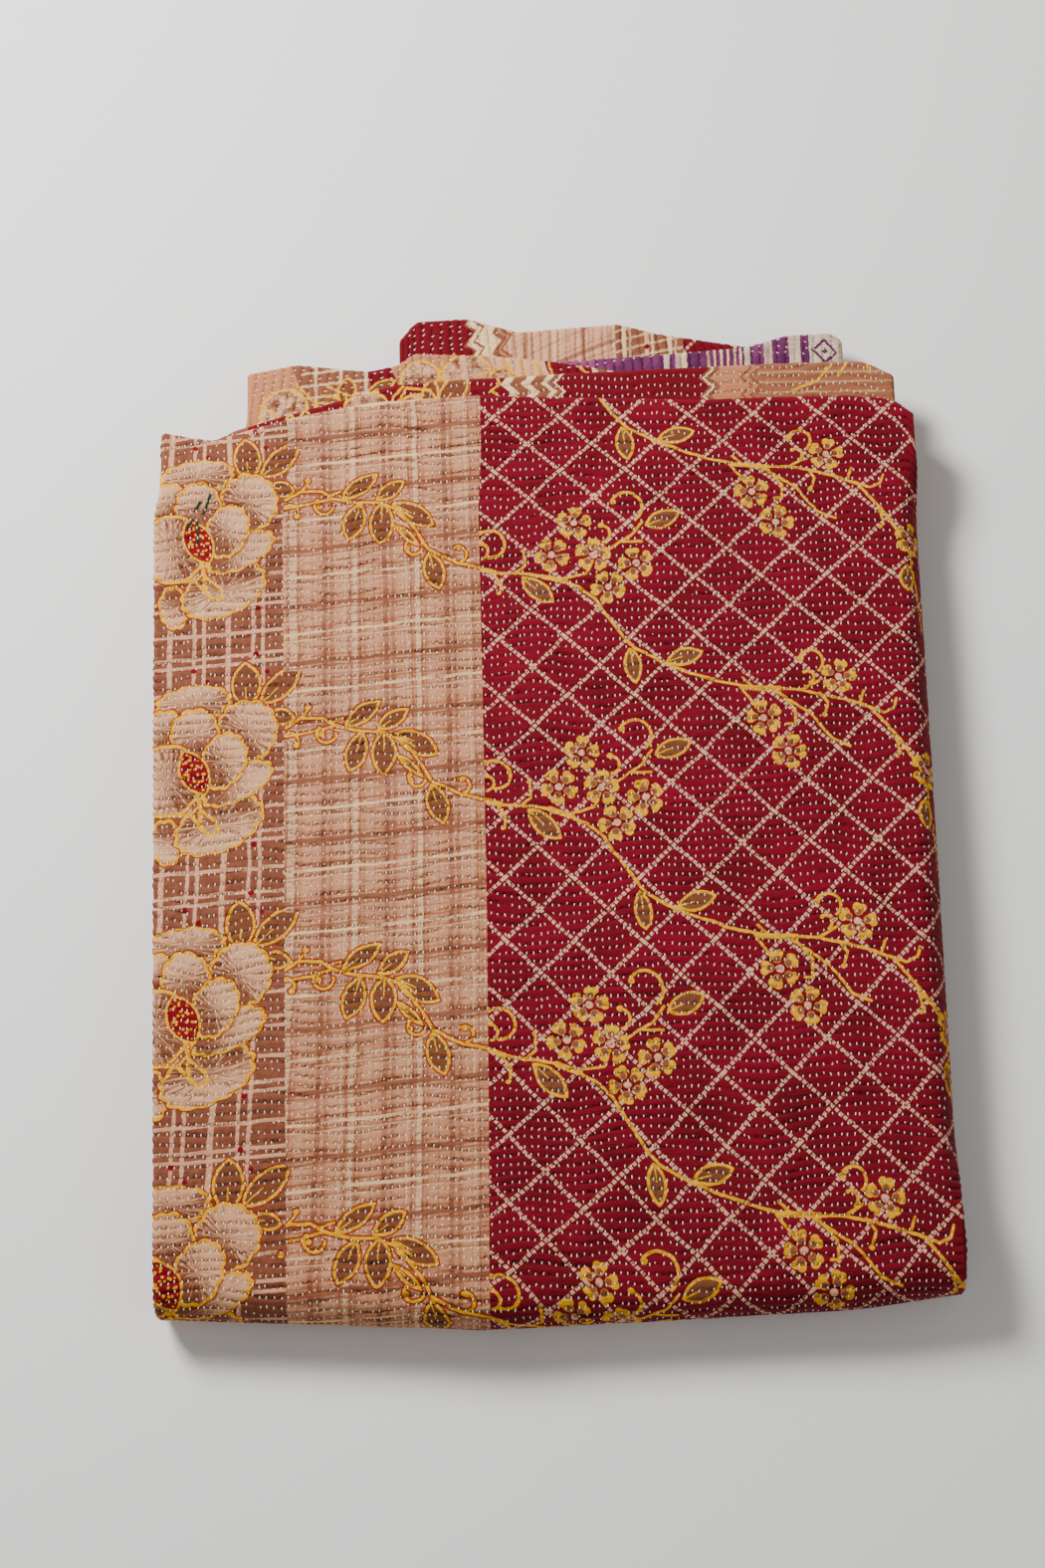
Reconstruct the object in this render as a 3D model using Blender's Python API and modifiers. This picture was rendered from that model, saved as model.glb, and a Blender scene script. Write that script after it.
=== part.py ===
"""A kantha quilt, folded and laid flat: one cloth in one back-and-forth section.

The bottom layer runs forward, wraps round the front of the stack and becomes the top panel. From
there the cloth goes back and forth, down to the layer above the bottom one. Its rear folds lie
staggered behind the top panel, and the top panel turns down over the right side of the stack.
Metres. X runs along the folds, Y towards the rear folds, Z up from the surface it lies on.
"""

import math

import bmesh
import bpy
import numpy as np
from mathutils import Matrix

NODE = "quilt"

# The cloth and its stack
CLOTH = 0.003
LAYER_PITCH = 0.0039
LAYERS = 12
BOTTOM = LAYERS - 1

# The wrap round the front, as a half ellipse, and how far its inner folds keep from it
WRAP_DEPTH = 0.023
FOLD_CLEARANCE = 0.0009
FRONT_EDGE = [  # x, y of the foremost line
    (-0.252, -0.292),
    (-0.150, -0.298),
    (-0.047, -0.304),
    (0.071, -0.301),
    (0.183, -0.298),
    (0.252, -0.290),
]

# The top panel's right edge turns down over the side, deepest between the two ends
TURN_WIDTH = 0.014
TURN_DEPTH = 0.026
TURN_START = 0.018
TURN_FADE = 0.065
EDGE_CLEARANCE = 0.002
TUCK_RUN = 0.030

# Rear ends from the top down, the folds first: left end, right end, then x and y of the
# rearmost line
REAR_ENDS = {
    "top panel": (-0.248, 0.251, [
        (-0.248, 0.290), (-0.215, 0.282), (-0.158, 0.297), (-0.105, 0.306), (-0.038, 0.308),
        (0.108, 0.301), (0.207, 0.302), (0.238, 0.299), (0.251, 0.288),
    ]),
    "first strip": (-0.232, 0.240, [
        (-0.232, 0.276), (-0.200, 0.292), (-0.128, 0.311), (-0.091, 0.321), (-0.045, 0.323),
        (0.082, 0.327), (0.149, 0.328), (0.220, 0.329), (0.240, 0.319),
    ]),
    "second strip": (-0.192, 0.226, [
        (-0.192, 0.336), (-0.160, 0.341), (-0.112, 0.334), (-0.091, 0.338), (-0.080, 0.346),
        (-0.031, 0.343), (0.016, 0.337), (0.070, 0.326), (0.226, 0.306),
    ]),
    "patch strip": (-0.135, 0.208, [
        (-0.135, 0.318), (-0.060, 0.328), (0.003, 0.340), (0.077, 0.343), (0.144, 0.347),
        (0.172, 0.355), (0.202, 0.356), (0.208, 0.350),
    ]),
    "last strip": (-0.090, 0.190, [
        (-0.090, 0.362), (-0.079, 0.376), (-0.044, 0.377), (-0.010, 0.366), (0.020, 0.368),
        (0.058, 0.370), (0.085, 0.362), (0.148, 0.350), (0.190, 0.336),
    ]),
    "inner end": (-0.236, 0.238, [(-0.236, 0.262), (0.0, 0.285), (0.238, 0.272)]),
    "bottom end": (-0.243, 0.242, [(-0.243, 0.270), (0.0, 0.292), (0.242, 0.276)]),
}

# Front ends from the top down, the wrap first: left end and right end
FRONT_ENDS = [
    (-0.252, 0.250),
    (-0.247, 0.240),
    (-0.249, 0.242),
    (-0.244, 0.243),
    (-0.248, 0.244),
    (-0.245, 0.243),
]

# A layer keeps its front width up to here, and has its rear width this far before its end
NARROW_FROM = 0.220
NARROW_END = 0.028

# Past the end of a lower layer the cloth above sinks by a share of its height, over a distance
SINK = 0.30
DRAPE = 0.090
DRAPE_MARGIN = 0.018

# Broad rises and hollows of the stack: x, y, radius, share of the height
SWELLS = [
    (-0.245, 0.285, 0.080, 0.035),
    (-0.190, 0.190, 0.110, -0.03),
    (-0.060, 0.100, 0.180, 0.05),
    (0.150, -0.080, 0.160, 0.04),
    (-0.180, -0.180, 0.120, -0.05),
    (0.060, -0.270, 0.110, -0.04),
    (0.225, 0.240, 0.080, -0.06),
    (0.235, -0.265, 0.070, 0.05),
]

# Over what distance the slant of a fold line is read
SLANT_STEP = 0.006

# Steps of the cloth's grid
ACROSS_FLAT = 12
ACROSS_TURN = 4
LAYER_PLACES = (-0.220, -0.060, 0.080, 0.165, 0.215)
FADE_PLACES = (0.0, 0.5)
FOLD_STEPS = 5
WRAP_STEPS = 12


def ease(t):
    """Rise smoothly from 0 to 1."""
    t = min(max(t, 0.0), 1.0)
    return t * t * (3.0 - 2.0 * t)


def between(a, b, t):
    return a + (b - a) * t


def read_edge(rows, x):
    """The y of an edge line at x."""
    xs, ys = zip(*rows)
    return float(np.interp(x, xs, ys))


def slanted_depth(rows, x):
    """How deep a fold turns along Y, so that it keeps its radius where its line slants."""
    slope = (read_edge(rows, x + SLANT_STEP) - read_edge(rows, x - SLANT_STEP)) / (2 * SLANT_STEP)
    return LAYER_PITCH / 2 * math.hypot(1.0, slope)


def front_index(layer):
    """Which front end a layer has. The bottom layer and the top panel share the wrap."""
    return 0 if layer == BOTTOM else (layer + 1) // 2


def rear_end(layer):
    """The rear end of a layer. Two layers share each rear fold."""
    index = len(REAR_ENDS) - 1 if layer == BOTTOM else layer // 2
    return list(REAR_ENDS.values())[index]


def tucked_right(layer):
    """How far a lower layer's right end stays inside the turned-down edge above it."""
    depth = min((layer - 1) * LAYER_PITCH, TURN_DEPTH)
    out = TURN_WIDTH * math.sqrt(1.0 - (1.0 - depth / TURN_DEPTH) ** 2)
    return TURN_WIDTH - out + CLOTH + EDGE_CLEARANCE


def ends_at(layer, y, rear):
    """Left and right end of a layer at y, where its rear end lies at rear."""
    front_ends = FRONT_ENDS[front_index(layer)]
    rear_ends = rear_end(layer)
    narrowed = ease((y - NARROW_FROM) / max(rear - NARROW_END - NARROW_FROM, NARROW_END))
    left = between(front_ends[0], rear_ends[0], narrowed)
    right = between(front_ends[1], rear_ends[1], narrowed)
    if layer in (0, BOTTOM):
        return left, right
    top_right = between(FRONT_ENDS[0][1], rear_end(0)[1], narrowed)
    tuck = min((rear - y) / TUCK_RUN, 1.0) if layer == 1 else 1.0
    return left, min(right, top_right - tuck * tucked_right(layer))


def presence(layer, x, y):
    """1 where a layer lies, and less away from its ends."""
    rear = read_edge(rear_end(layer)[2], x)
    left, right = ends_at(layer, y, rear)
    away = math.hypot(max(left - x, x - right, 0.0), max(y - rear, 0.0))
    return 1.0 - SINK * ease((away - DRAPE_MARGIN) / DRAPE)


def swell(x, y):
    """How high the stack stands at a place, as a share of its plain height."""
    rise = 1.0
    for at_x, at_y, radius, share in SWELLS:
        distance = math.hypot(x - at_x, y - at_y) / radius
        rise += share * math.exp(-distance * distance)
    return rise


def layer_height(layer, x, y):
    """Height of the middle of a layer's thickness, lying on the layers below it."""
    below = sum(presence(lower, x, y) for lower in range(layer + 1, LAYERS))
    return CLOTH / 2 + below * LAYER_PITCH * swell(x, y)


def turned_down(x, y, right, front, rear):
    """How far the top panel drops at a place near its right edge."""
    start = right - TURN_WIDTH
    if x <= start:
        return 0.0
    t = min((x - start) / TURN_WIDTH, 0.998)
    to_end = min(rear - y, y - front) - TURN_START
    depth = TURN_DEPTH * ease(to_end / TURN_FADE)
    return depth * (1.0 - math.sqrt(1.0 - t * t))


def across_steps():
    """Places across the cloth from 0 to 1, closer together at the turned-down edge."""
    turn_share = TURN_WIDTH / (FRONT_ENDS[0][1] - FRONT_ENDS[0][0])
    flat = [i / ACROSS_FLAT * (1.0 - turn_share) for i in range(ACROSS_FLAT)]
    turn = [
        1.0 - turn_share + turn_share * math.sin(math.pi / 2 * i / ACROSS_TURN)
        for i in range(ACROSS_TURN + 1)
    ]
    return flat + turn


def along_steps(layer, front, rear):
    """Places along a layer from its front to its rear, closer together near the rear."""
    narrow = rear - NARROW_END
    places = [front, *LAYER_PLACES, between(LAYER_PLACES[-1], narrow, 0.5), narrow, rear]
    if layer == 0:
        inward = [TURN_START + TURN_FADE * share for share in FADE_PLACES]
        fade = [front + step for step in inward] + [rear - step for step in inward]
        places = sorted(places + fade)
    return places


class Section:
    """The path of the cloth at one place across it."""

    def __init__(self, across):
        self.across = across

    def wrap_y(self):
        """Where the front wrap starts to turn."""
        x = between(*FRONT_ENDS[0], self.across)
        return read_edge(FRONT_EDGE, x) + CLOTH / 2 + WRAP_DEPTH

    def front_y(self, layer):
        """Where a layer's front fold starts to turn, so that it lies inside the wrap."""
        if layer in (0, BOTTOM):
            return self.wrap_y()
        upper_layer = 2 * front_index(layer) - 1
        centre = self.wrap_y()
        x = between(*ends_at(upper_layer, centre, 1.0), self.across)
        top = layer_height(0, x, centre)
        upper = layer_height(upper_layer, x, centre)
        lower = layer_height(upper_layer + 1, x, centre)
        radius = (upper - lower) / 2
        off_middle = abs((upper + lower) / 2 - (top + CLOTH / 2) / 2)
        far_side = off_middle + radius + CLOTH / 2 + FOLD_CLEARANCE
        room = top / 2 - CLOTH * 3 / 4
        reach = (WRAP_DEPTH - CLOTH / 2) * math.sqrt(max(1.0 - (far_side / room) ** 2, 0.0))
        return centre - max(reach - FOLD_CLEARANCE - radius - CLOTH / 2, 0.0)

    def rear_depth(self, layer):
        left, right, rows = rear_end(layer)
        return slanted_depth(rows, between(left, right, self.across))

    def rear_y(self, layer):
        """Where a layer's rear fold starts to turn, or where its cut end lies."""
        left, right, rows = rear_end(layer)
        y = read_edge(rows, between(left, right, self.across))
        return y if layer >= BOTTOM - 1 else y - self.rear_depth(layer) - CLOTH / 2

    def layer(self, number):
        """Points of a layer from its front to its rear."""
        front, rear = self.front_y(number), self.rear_y(number)
        points = []
        for y in along_steps(number, front, rear):
            left, right = ends_at(number, y, rear)
            x = between(left, right, self.across)
            z = layer_height(number, x, y)
            if number == 0:
                z -= turned_down(x, y, right, front, rear)
            points.append((x, y, z))
        return points

    def turn(self, start, end, depth, steps):
        """Points of a fold between the end of one layer and the start of the next."""
        points = []
        for i in range(1, steps):
            angle = math.pi * i / steps
            share = (1.0 - math.cos(angle)) / 2
            x, y, z = (between(a, b, share) for a, b in zip(start, end))
            points.append((x, y + depth * math.sin(angle), z))
        return points

    def path(self):
        """The whole path: bottom layer, wrap, top panel, then down back and forth."""
        points = self.layer(BOTTOM)[::-1]
        forward = True
        for number in range(BOTTOM):
            layer = self.layer(number) if forward else self.layer(number)[::-1]
            if number == 0:
                points += self.turn(points[-1], layer[0], -WRAP_DEPTH, WRAP_STEPS)
            elif forward:
                points += self.turn(points[-1], layer[0], -LAYER_PITCH / 2, FOLD_STEPS)
            else:
                points += self.turn(points[-1], layer[0], self.rear_depth(number), FOLD_STEPS)
            points += layer
            forward = not forward
        return points


def cloth_material():
    material = bpy.data.materials.new("printed cotton")
    material.use_nodes = True
    shader = material.node_tree.nodes["Principled BSDF"]
    shader.inputs["Base Color"].default_value = (0.33, 0.035, 0.045, 1.0)
    shader.inputs["Roughness"].default_value = 0.85
    shader.inputs["Metallic"].default_value = 0.0
    return material


def lofted_cloth():
    """The middle of the cloth's thickness: a grid of the sections side by side."""
    sections = [Section(across).path() for across in across_steps()]
    shape = bmesh.new()
    rows = [[shape.verts.new(point) for point in section] for section in sections]
    for left, right in zip(rows, rows[1:]):
        for i in range(len(left) - 1):
            shape.faces.new((left[i], left[i + 1], right[i + 1], right[i]))
    mesh = bpy.data.meshes.new(NODE)
    shape.to_mesh(mesh)
    shape.free()
    return mesh


def stand_on_origin(quilt):
    """Move the mesh so that the origin is under the middle of the finished cloth."""
    finished = quilt.evaluated_get(bpy.context.evaluated_depsgraph_get())
    corners = np.array([corner[:] for corner in finished.bound_box])
    low, high = corners.min(axis=0), corners.max(axis=0)
    middle = (low + high) / 2
    quilt.data.transform(Matrix.Translation((-middle[0], -middle[1], -low[2])))


def make_quilt(collection):
    quilt = bpy.data.objects.new(NODE, lofted_cloth())
    collection.objects.link(quilt)
    quilt.data.materials.append(cloth_material())
    thickness = quilt.modifiers.new("cloth thickness", "SOLIDIFY")
    thickness.thickness = CLOTH
    thickness.offset = 0.0
    bpy.context.view_layer.update()
    stand_on_origin(quilt)
    quilt.data.shade_smooth()
    return quilt


def clear_scene():
    for item in list(bpy.data.objects):
        bpy.data.objects.remove(item, do_unlink=True)


def main():
    clear_scene()
    collection = bpy.data.collections.new("kantha quilt")
    bpy.context.scene.collection.children.link(collection)
    make_quilt(collection)


main()
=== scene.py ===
from functools import partialmethod
import math
import bpy
import numpy as np
from mathutils import Matrix, Vector


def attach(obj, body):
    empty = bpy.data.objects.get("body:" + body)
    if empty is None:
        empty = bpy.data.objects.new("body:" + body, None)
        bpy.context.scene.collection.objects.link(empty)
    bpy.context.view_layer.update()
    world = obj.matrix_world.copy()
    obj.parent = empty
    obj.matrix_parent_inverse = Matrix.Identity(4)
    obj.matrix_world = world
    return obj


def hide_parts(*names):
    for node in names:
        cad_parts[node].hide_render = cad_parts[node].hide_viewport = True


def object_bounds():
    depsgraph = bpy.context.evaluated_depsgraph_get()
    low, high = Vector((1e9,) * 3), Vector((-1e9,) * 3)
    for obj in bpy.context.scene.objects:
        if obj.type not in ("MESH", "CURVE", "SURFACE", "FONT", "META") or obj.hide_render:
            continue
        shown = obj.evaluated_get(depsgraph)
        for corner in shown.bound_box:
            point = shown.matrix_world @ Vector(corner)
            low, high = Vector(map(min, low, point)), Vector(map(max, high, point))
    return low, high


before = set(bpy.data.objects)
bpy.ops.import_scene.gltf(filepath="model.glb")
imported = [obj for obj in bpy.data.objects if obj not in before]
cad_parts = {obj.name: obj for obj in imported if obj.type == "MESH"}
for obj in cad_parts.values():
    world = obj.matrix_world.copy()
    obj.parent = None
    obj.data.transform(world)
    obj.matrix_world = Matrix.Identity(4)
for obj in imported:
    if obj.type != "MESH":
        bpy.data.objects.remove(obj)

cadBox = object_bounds()

# The folded cloth: the same fold as the solid's, in metres. Y is measured before centring.
fold = {
    "thickness": 0.003,
    "layerPitch": 0.0039,
    "layers": 12,
    "wrapDepth": 0.023,
    "foldClearance": 0.0009,
    "frontEdge": [
        (-0.252, -0.292), (-0.150, -0.298), (-0.047, -0.304), (0.071, -0.301),
        (0.183, -0.298), (0.252, -0.290),
    ],
    "turnWidth": 0.014,
    "turnDepth": 0.026,
    "turnStart": 0.018,
    "turnFade": 0.065,
    "edgeClearance": 0.002,
    "tuckRun": 0.030,
    "narrowFrom": 0.220,
    "narrowEnd": 0.028,
    "sink": 0.30,
    "drape": 0.090,
    "drapeMargin": 0.018,
    "smoothing": 0.006,
    "slopeStep": 0.006,
    # rear ends from the top down: left end, right end, then x and y of the rearmost line
    "rearEnds": [
        (-0.248, 0.251, [
            (-0.248, 0.290), (-0.215, 0.282), (-0.158, 0.297), (-0.105, 0.306), (-0.038, 0.308),
            (0.108, 0.301), (0.207, 0.302), (0.238, 0.299), (0.251, 0.288),
        ]),
        (-0.232, 0.240, [
            (-0.232, 0.276), (-0.200, 0.292), (-0.128, 0.311), (-0.091, 0.321), (-0.045, 0.323),
            (0.082, 0.327), (0.149, 0.328), (0.220, 0.329), (0.240, 0.319),
        ]),
        (-0.192, 0.226, [
            (-0.192, 0.336), (-0.160, 0.341), (-0.112, 0.334), (-0.091, 0.338), (-0.080, 0.346),
            (-0.031, 0.343), (0.016, 0.337), (0.070, 0.326), (0.226, 0.306),
        ]),
        (-0.135, 0.208, [
            (-0.135, 0.318), (-0.060, 0.328), (0.003, 0.340), (0.077, 0.343), (0.144, 0.347),
            (0.172, 0.355), (0.202, 0.356), (0.208, 0.350),
        ]),
        (-0.090, 0.190, [
            (-0.090, 0.362), (-0.079, 0.376), (-0.044, 0.377), (-0.010, 0.366), (0.020, 0.368),
            (0.058, 0.370), (0.085, 0.362), (0.148, 0.350), (0.190, 0.336),
        ]),
        (-0.236, 0.238, [(-0.236, 0.262), (0.0, 0.285), (0.238, 0.272)]),
        (-0.243, 0.242, [(-0.243, 0.270), (0.0, 0.292), (0.242, 0.276)]),
    ],
    # front ends from the top down, the wrap first
    "frontEnds": [
        (-0.252, 0.250), (-0.247, 0.240), (-0.249, 0.242), (-0.244, 0.243), (-0.248, 0.244),
        (-0.245, 0.243),
    ],
    # broad rises and hollows: x, y, radius, share of the height
    "swells": [
        (-0.245, 0.285, 0.080, 0.035), (-0.190, 0.190, 0.110, -0.03), (-0.060, 0.100, 0.180, 0.05),
        (0.150, -0.080, 0.160, 0.04), (-0.180, -0.180, 0.120, -0.05), (0.060, -0.270, 0.110, -0.04),
        (0.225, 0.240, 0.080, -0.06), (0.235, -0.265, 0.070, 0.05),
    ],
}
bottomLayer = fold["layers"] - 1


def ease(t):
    t = np.clip(t, 0.0, 1.0)
    return t * t * (3.0 - 2.0 * t)


def between(a, b, t):
    return a + (b - a) * t


def smoothLine(rows):
    # an edge line with its corners worn round
    xs, ys = zip(*rows)
    pad = fold["smoothing"] * 3
    dense = np.linspace(xs[0] - pad, xs[-1] + pad, 900)
    line = np.interp(dense, xs, ys)
    half = max(int(fold["smoothing"] / (dense[1] - dense[0])), 1)
    kernel = np.hanning(2 * half + 1)
    padded = np.concatenate([np.full(half, line[0]), line, np.full(half, line[-1])])
    return dense, np.convolve(padded, kernel / kernel.sum(), "valid")


frontLine = smoothLine(fold["frontEdge"])
rearLines = [smoothLine(rows) for left, right, rows in fold["rearEnds"]]


def frontIndex(layer):
    return 0 if layer == bottomLayer else (layer + 1) // 2


def rearIndex(layer):
    return len(rearLines) - 1 if layer == bottomLayer else layer // 2


def rearEdge(layer, x):
    return np.interp(x, *rearLines[rearIndex(layer)])


def tuckedRight(layer):
    # how far a lower layer stays inside the turned-down edge above it
    depth = min((layer - 1) * fold["layerPitch"], fold["turnDepth"])
    out = fold["turnWidth"] * math.sqrt(1.0 - (1.0 - depth / fold["turnDepth"]) ** 2)
    return fold["turnWidth"] - out + fold["thickness"] + fold["edgeClearance"]


def endsAt(layer, y, rear):
    front = fold["frontEnds"][frontIndex(layer)]
    rearEnds = fold["rearEnds"][rearIndex(layer)]
    run = np.maximum(rear - fold["narrowEnd"] - fold["narrowFrom"], fold["narrowEnd"])
    narrowed = ease((y - fold["narrowFrom"]) / run)
    left = between(front[0], rearEnds[0], narrowed)
    right = between(front[1], rearEnds[1], narrowed)
    if layer in (0, bottomLayer):
        return left, right
    topRight = between(fold["frontEnds"][0][1], fold["rearEnds"][0][1], narrowed)
    tuck = np.clip((rear - y) / fold["tuckRun"], 0.0, 1.0) if layer == 1 else 1.0
    return left, np.minimum(right, topRight - tuck * tuckedRight(layer))


def presence(layer, x, y):
    rear = rearEdge(layer, x)
    left, right = endsAt(layer, y, rear)
    beside = np.maximum(np.maximum(left - x, x - right), 0.0)
    away = np.hypot(beside, np.maximum(y - rear, 0.0))
    return 1.0 - fold["sink"] * ease((away - fold["drapeMargin"]) / fold["drape"])


def swell(x, y):
    rise = 1.0
    for atX, atY, radius, share in fold["swells"]:
        rise = rise + share * np.exp(-((x - atX) ** 2 + (y - atY) ** 2) / radius ** 2)
    return rise


def layerHeight(layer, x, y):
    below = sum(presence(lower, x, y) for lower in range(layer + 1, fold["layers"]))
    return fold["thickness"] / 2 + below * fold["layerPitch"] * swell(x, y)


def turnedDown(x, y, right, front, rear):
    # the top panel's right edge goes down over the side of the stack
    t = np.clip((x - right) / fold["turnWidth"] + 1.0, 0.0, 0.998)
    toEnd = np.minimum(rear - y, y - front) - fold["turnStart"]
    depth = fold["turnDepth"] * ease(toEnd / fold["turnFade"])
    return depth * (1.0 - np.sqrt(1.0 - t * t))


def wrapY(across):
    x = between(*fold["frontEnds"][0], across)
    return np.interp(x, *frontLine) + fold["thickness"] / 2 + fold["wrapDepth"]


def frontY(layer, across):
    # where a layer's front fold starts to turn, inside the wrap
    centre = wrapY(across)
    if layer in (0, bottomLayer):
        return centre
    upperLayer = 2 * frontIndex(layer) - 1
    left, right = endsAt(upperLayer, centre, centre + 1.0)
    x = between(left, right, across)
    half = fold["thickness"] / 2
    top = layerHeight(0, x, centre)
    upper = layerHeight(upperLayer, x, centre)
    lower = layerHeight(upperLayer + 1, x, centre)
    radius = (upper - lower) / 2
    offMiddle = np.abs((upper + lower) / 2 - (top + half) / 2)
    farSide = offMiddle + radius + half + fold["foldClearance"]
    room = top / 2 - fold["thickness"] * 3 / 4
    reach = (fold["wrapDepth"] - half) * np.sqrt(np.clip(1.0 - (farSide / room) ** 2, 0.0, 1.0))
    return centre - np.maximum(reach - fold["foldClearance"] - radius - half, 0.0)


def rearDepth(layer, across):
    left, right, rows = fold["rearEnds"][rearIndex(layer)]
    x = between(left, right, across)
    step = fold["slopeStep"]
    slope = (rearEdge(layer, x + step) - rearEdge(layer, x - step)) / (2 * step)
    return fold["layerPitch"] / 2 * np.hypot(1.0, slope)


def rearY(layer, across):
    left, right, rows = fold["rearEnds"][rearIndex(layer)]
    y = rearEdge(layer, between(left, right, across))
    if layer >= bottomLayer - 1:
        return y
    return y - rearDepth(layer, across) - fold["thickness"] / 2


def layerRows(layer, across, shares):
    # points of a layer at shares of its run from front to rear, one for all columns or one for each
    shares = np.asarray(shares)
    front, rear = frontY(layer, across), rearY(layer, across)
    y = between(front, rear, shares if shares.ndim == 2 else shares[:, None])
    left, right = endsAt(layer, y, rear)
    x = between(left, right, across)
    z = layerHeight(layer, x, y)
    if layer == 0:
        z = z - turnedDown(x, y, right, front, rear)
    return np.stack([x, y, z], axis=2)


def turnRows(start, end, depth, steps):
    # rows of a fold between the end of one layer and the start of the next
    angle = (np.arange(1, steps) * math.pi / steps)[:, None]
    rows = between(start, end, ((1.0 - np.cos(angle)) / 2)[:, :, None])
    rows[:, :, 1] += depth * np.sin(angle)
    return rows


# Soft unevenness that all the layers share, so they still lie on one another
lieOfCloth = {
    "seed": 11,
    "count": 90,
    "x": (-0.27, 0.27),
    "y": (-0.32, 0.38),
    "radius": (0.022, 0.060),
    "share": 0.016,
}
lieRandom = np.random.default_rng(lieOfCloth["seed"])
for i in range(lieOfCloth["count"]):
    swellPlace = [lieRandom.uniform(*lieOfCloth[name]) for name in ("x", "y", "radius")]
    fold["swells"].append((*swellPlace, lieRandom.normal(0.0, lieOfCloth["share"])))


# Ripples between the stitches, whose rows run along the cloth. Scales are across and along it.
ripples = {
    "seed": 5,
    "pitch": 0.0062,       # from stitch to stitch
    "rowStep": 0.0044,
    "height": 0.00066,
    "roundness": 0.6,
    "level": 0.7,          # what the cloth's own level is between a hollow and a crest
    "wander": 0.55,        # share of a pitch
    "wanderScale": (0.055, 0.110),
    "uneven": 0.75,
    "broadShare": 0.35,
    "broadScale": (0.060, 0.030),
    "fineShare": 0.85,
    "fineScale": (0.012, 0.016),
    "pull": (0.15, 2.0),   # least and most
    "samples": 6,          # mesh rows in one pitch
    "solveSteps": 25,
    "solveShare": 0.8,
}


def softNoise(seed, scaleU, scaleV, waves=14):
    # smooth noise of about unit strength, as a sum of random waves
    random = np.random.default_rng(seed)
    angles = random.uniform(0.0, 2 * math.pi, waves)
    speeds = random.uniform(0.35, 1.0, waves) * 2 * math.pi
    phases = random.uniform(0.0, 2 * math.pi, waves)
    alongU = speeds * np.cos(angles) / scaleU
    alongV = speeds * np.sin(angles) / scaleV

    def noise(u, v):
        total = 0.0
        for waveU, waveV, phase in zip(alongU, alongV, phases):
            total = total + np.sin(waveU * u + waveV * v + phase)
        return total * math.sqrt(2.0 / waves)

    return noise


wander = softNoise(ripples["seed"], *ripples["wanderScale"])
broadPull = softNoise(ripples["seed"] + 1, *ripples["broadScale"])
finePull = softNoise(ripples["seed"] + 2, *ripples["fineScale"])


def ripplePhase(u, v):
    return v / ripples["pitch"] + ripples["wander"] * 0.5 * wander(u, v)


def pull(u, v):
    # how hard the stitches pull the cloth
    uneven = ripples["broadShare"] * broadPull(u, v) + ripples["fineShare"] * finePull(u, v)
    return np.clip(1.0 + ripples["uneven"] * uneven, *ripples["pull"])


def rippleHeight(u, v, phase):
    puff = np.abs(np.sin(math.pi * phase)) ** ripples["roundness"] - ripples["level"]
    return ripples["height"] * pull(u, v) * puff


def shiftToFrame(points):
    # the solid was centred over its origin after it was folded
    return points + np.array([centreShift[0], centreShift[1], 0.0])


def gridNormals(points):
    # face side of the cloth: out at the wrap and up on the top panel
    along = np.gradient(points, axis=0)
    across = np.gradient(points, axis=1)
    normals = np.cross(across, along)
    return normals / np.linalg.norm(normals, axis=2, keepdims=True)


def runningLength(points, axis):
    steps = np.linalg.norm(np.diff(points, axis=axis), axis=2)
    zero = np.zeros_like(np.take(steps, [0], axis=axis))
    return np.concatenate([zero, np.cumsum(steps, axis=axis)], axis=axis)


class ClothMesh:
    # collects the vertices, faces, map and materials of one piece of cloth, and for every vertex
    # its stitch row, its place between the stitches and how deep its painted shade is

    def __init__(self):
        self.points, self.faces, self.uvs, self.grids, self.slots = [], [], [], [], []
        self.count = 0

    def addRow(self, points, uvs, grid):
        first = self.count
        self.points.append(points)
        self.uvs.append(uvs)
        self.grids.append(grid)
        self.count += len(points)
        return np.arange(first, self.count)

    def joinRows(self, lower, upper, slots=0, flip=False):
        # quads between rows of one length, or wider faces where one row is coarser
        if len(lower) == len(upper):
            quads = np.stack([lower[:-1], lower[1:], upper[1:], upper[:-1]], axis=1)
            found = [quad[::-1] if flip else quad for quad in quads.tolist()]
        else:
            steps = min(len(lower), len(upper)) - 1
            stepLower, stepUpper = (len(lower) - 1) // steps, (len(upper) - 1) // steps
            found = []
            for i in range(steps):
                below = lower[i * stepLower:(i + 1) * stepLower + 1].tolist()
                above = upper[i * stepUpper:(i + 1) * stepUpper + 1].tolist()
                ring = below + above[::-1]
                found.append(ring[::-1] if flip else ring)
        self.faces += found
        self.slots += list(slots) if np.ndim(slots) else [slots] * len(found)

    def build(self, name, materials):
        mesh = bpy.data.meshes.new(name)
        points = shiftToFrame(np.concatenate(self.points))
        mesh.from_pydata(points.tolist(), [], self.faces)
        for material in materials:
            mesh.materials.append(material)
        mesh.polygons.foreach_set("material_index", np.array(self.slots, np.int32))
        corners = np.zeros(len(mesh.loops), np.int32)
        mesh.loops.foreach_get("vertex_index", corners)
        layer = mesh.uv_layers.new(name="clothMap")
        layer.data.foreach_set("uv", np.concatenate(self.uvs)[corners].astype(np.float32).ravel())
        sewingAndShade = mesh.attributes.new("sewingAndShade", "FLOAT_VECTOR", "POINT")
        sewingAndShade.data.foreach_set("vector", np.concatenate(self.grids).astype(np.float32).ravel())
        mesh.shade_smooth()
        mesh.validate()
        piece = bpy.data.objects.new(name, mesh)
        bpy.context.scene.collection.objects.link(piece)
        return piece


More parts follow.
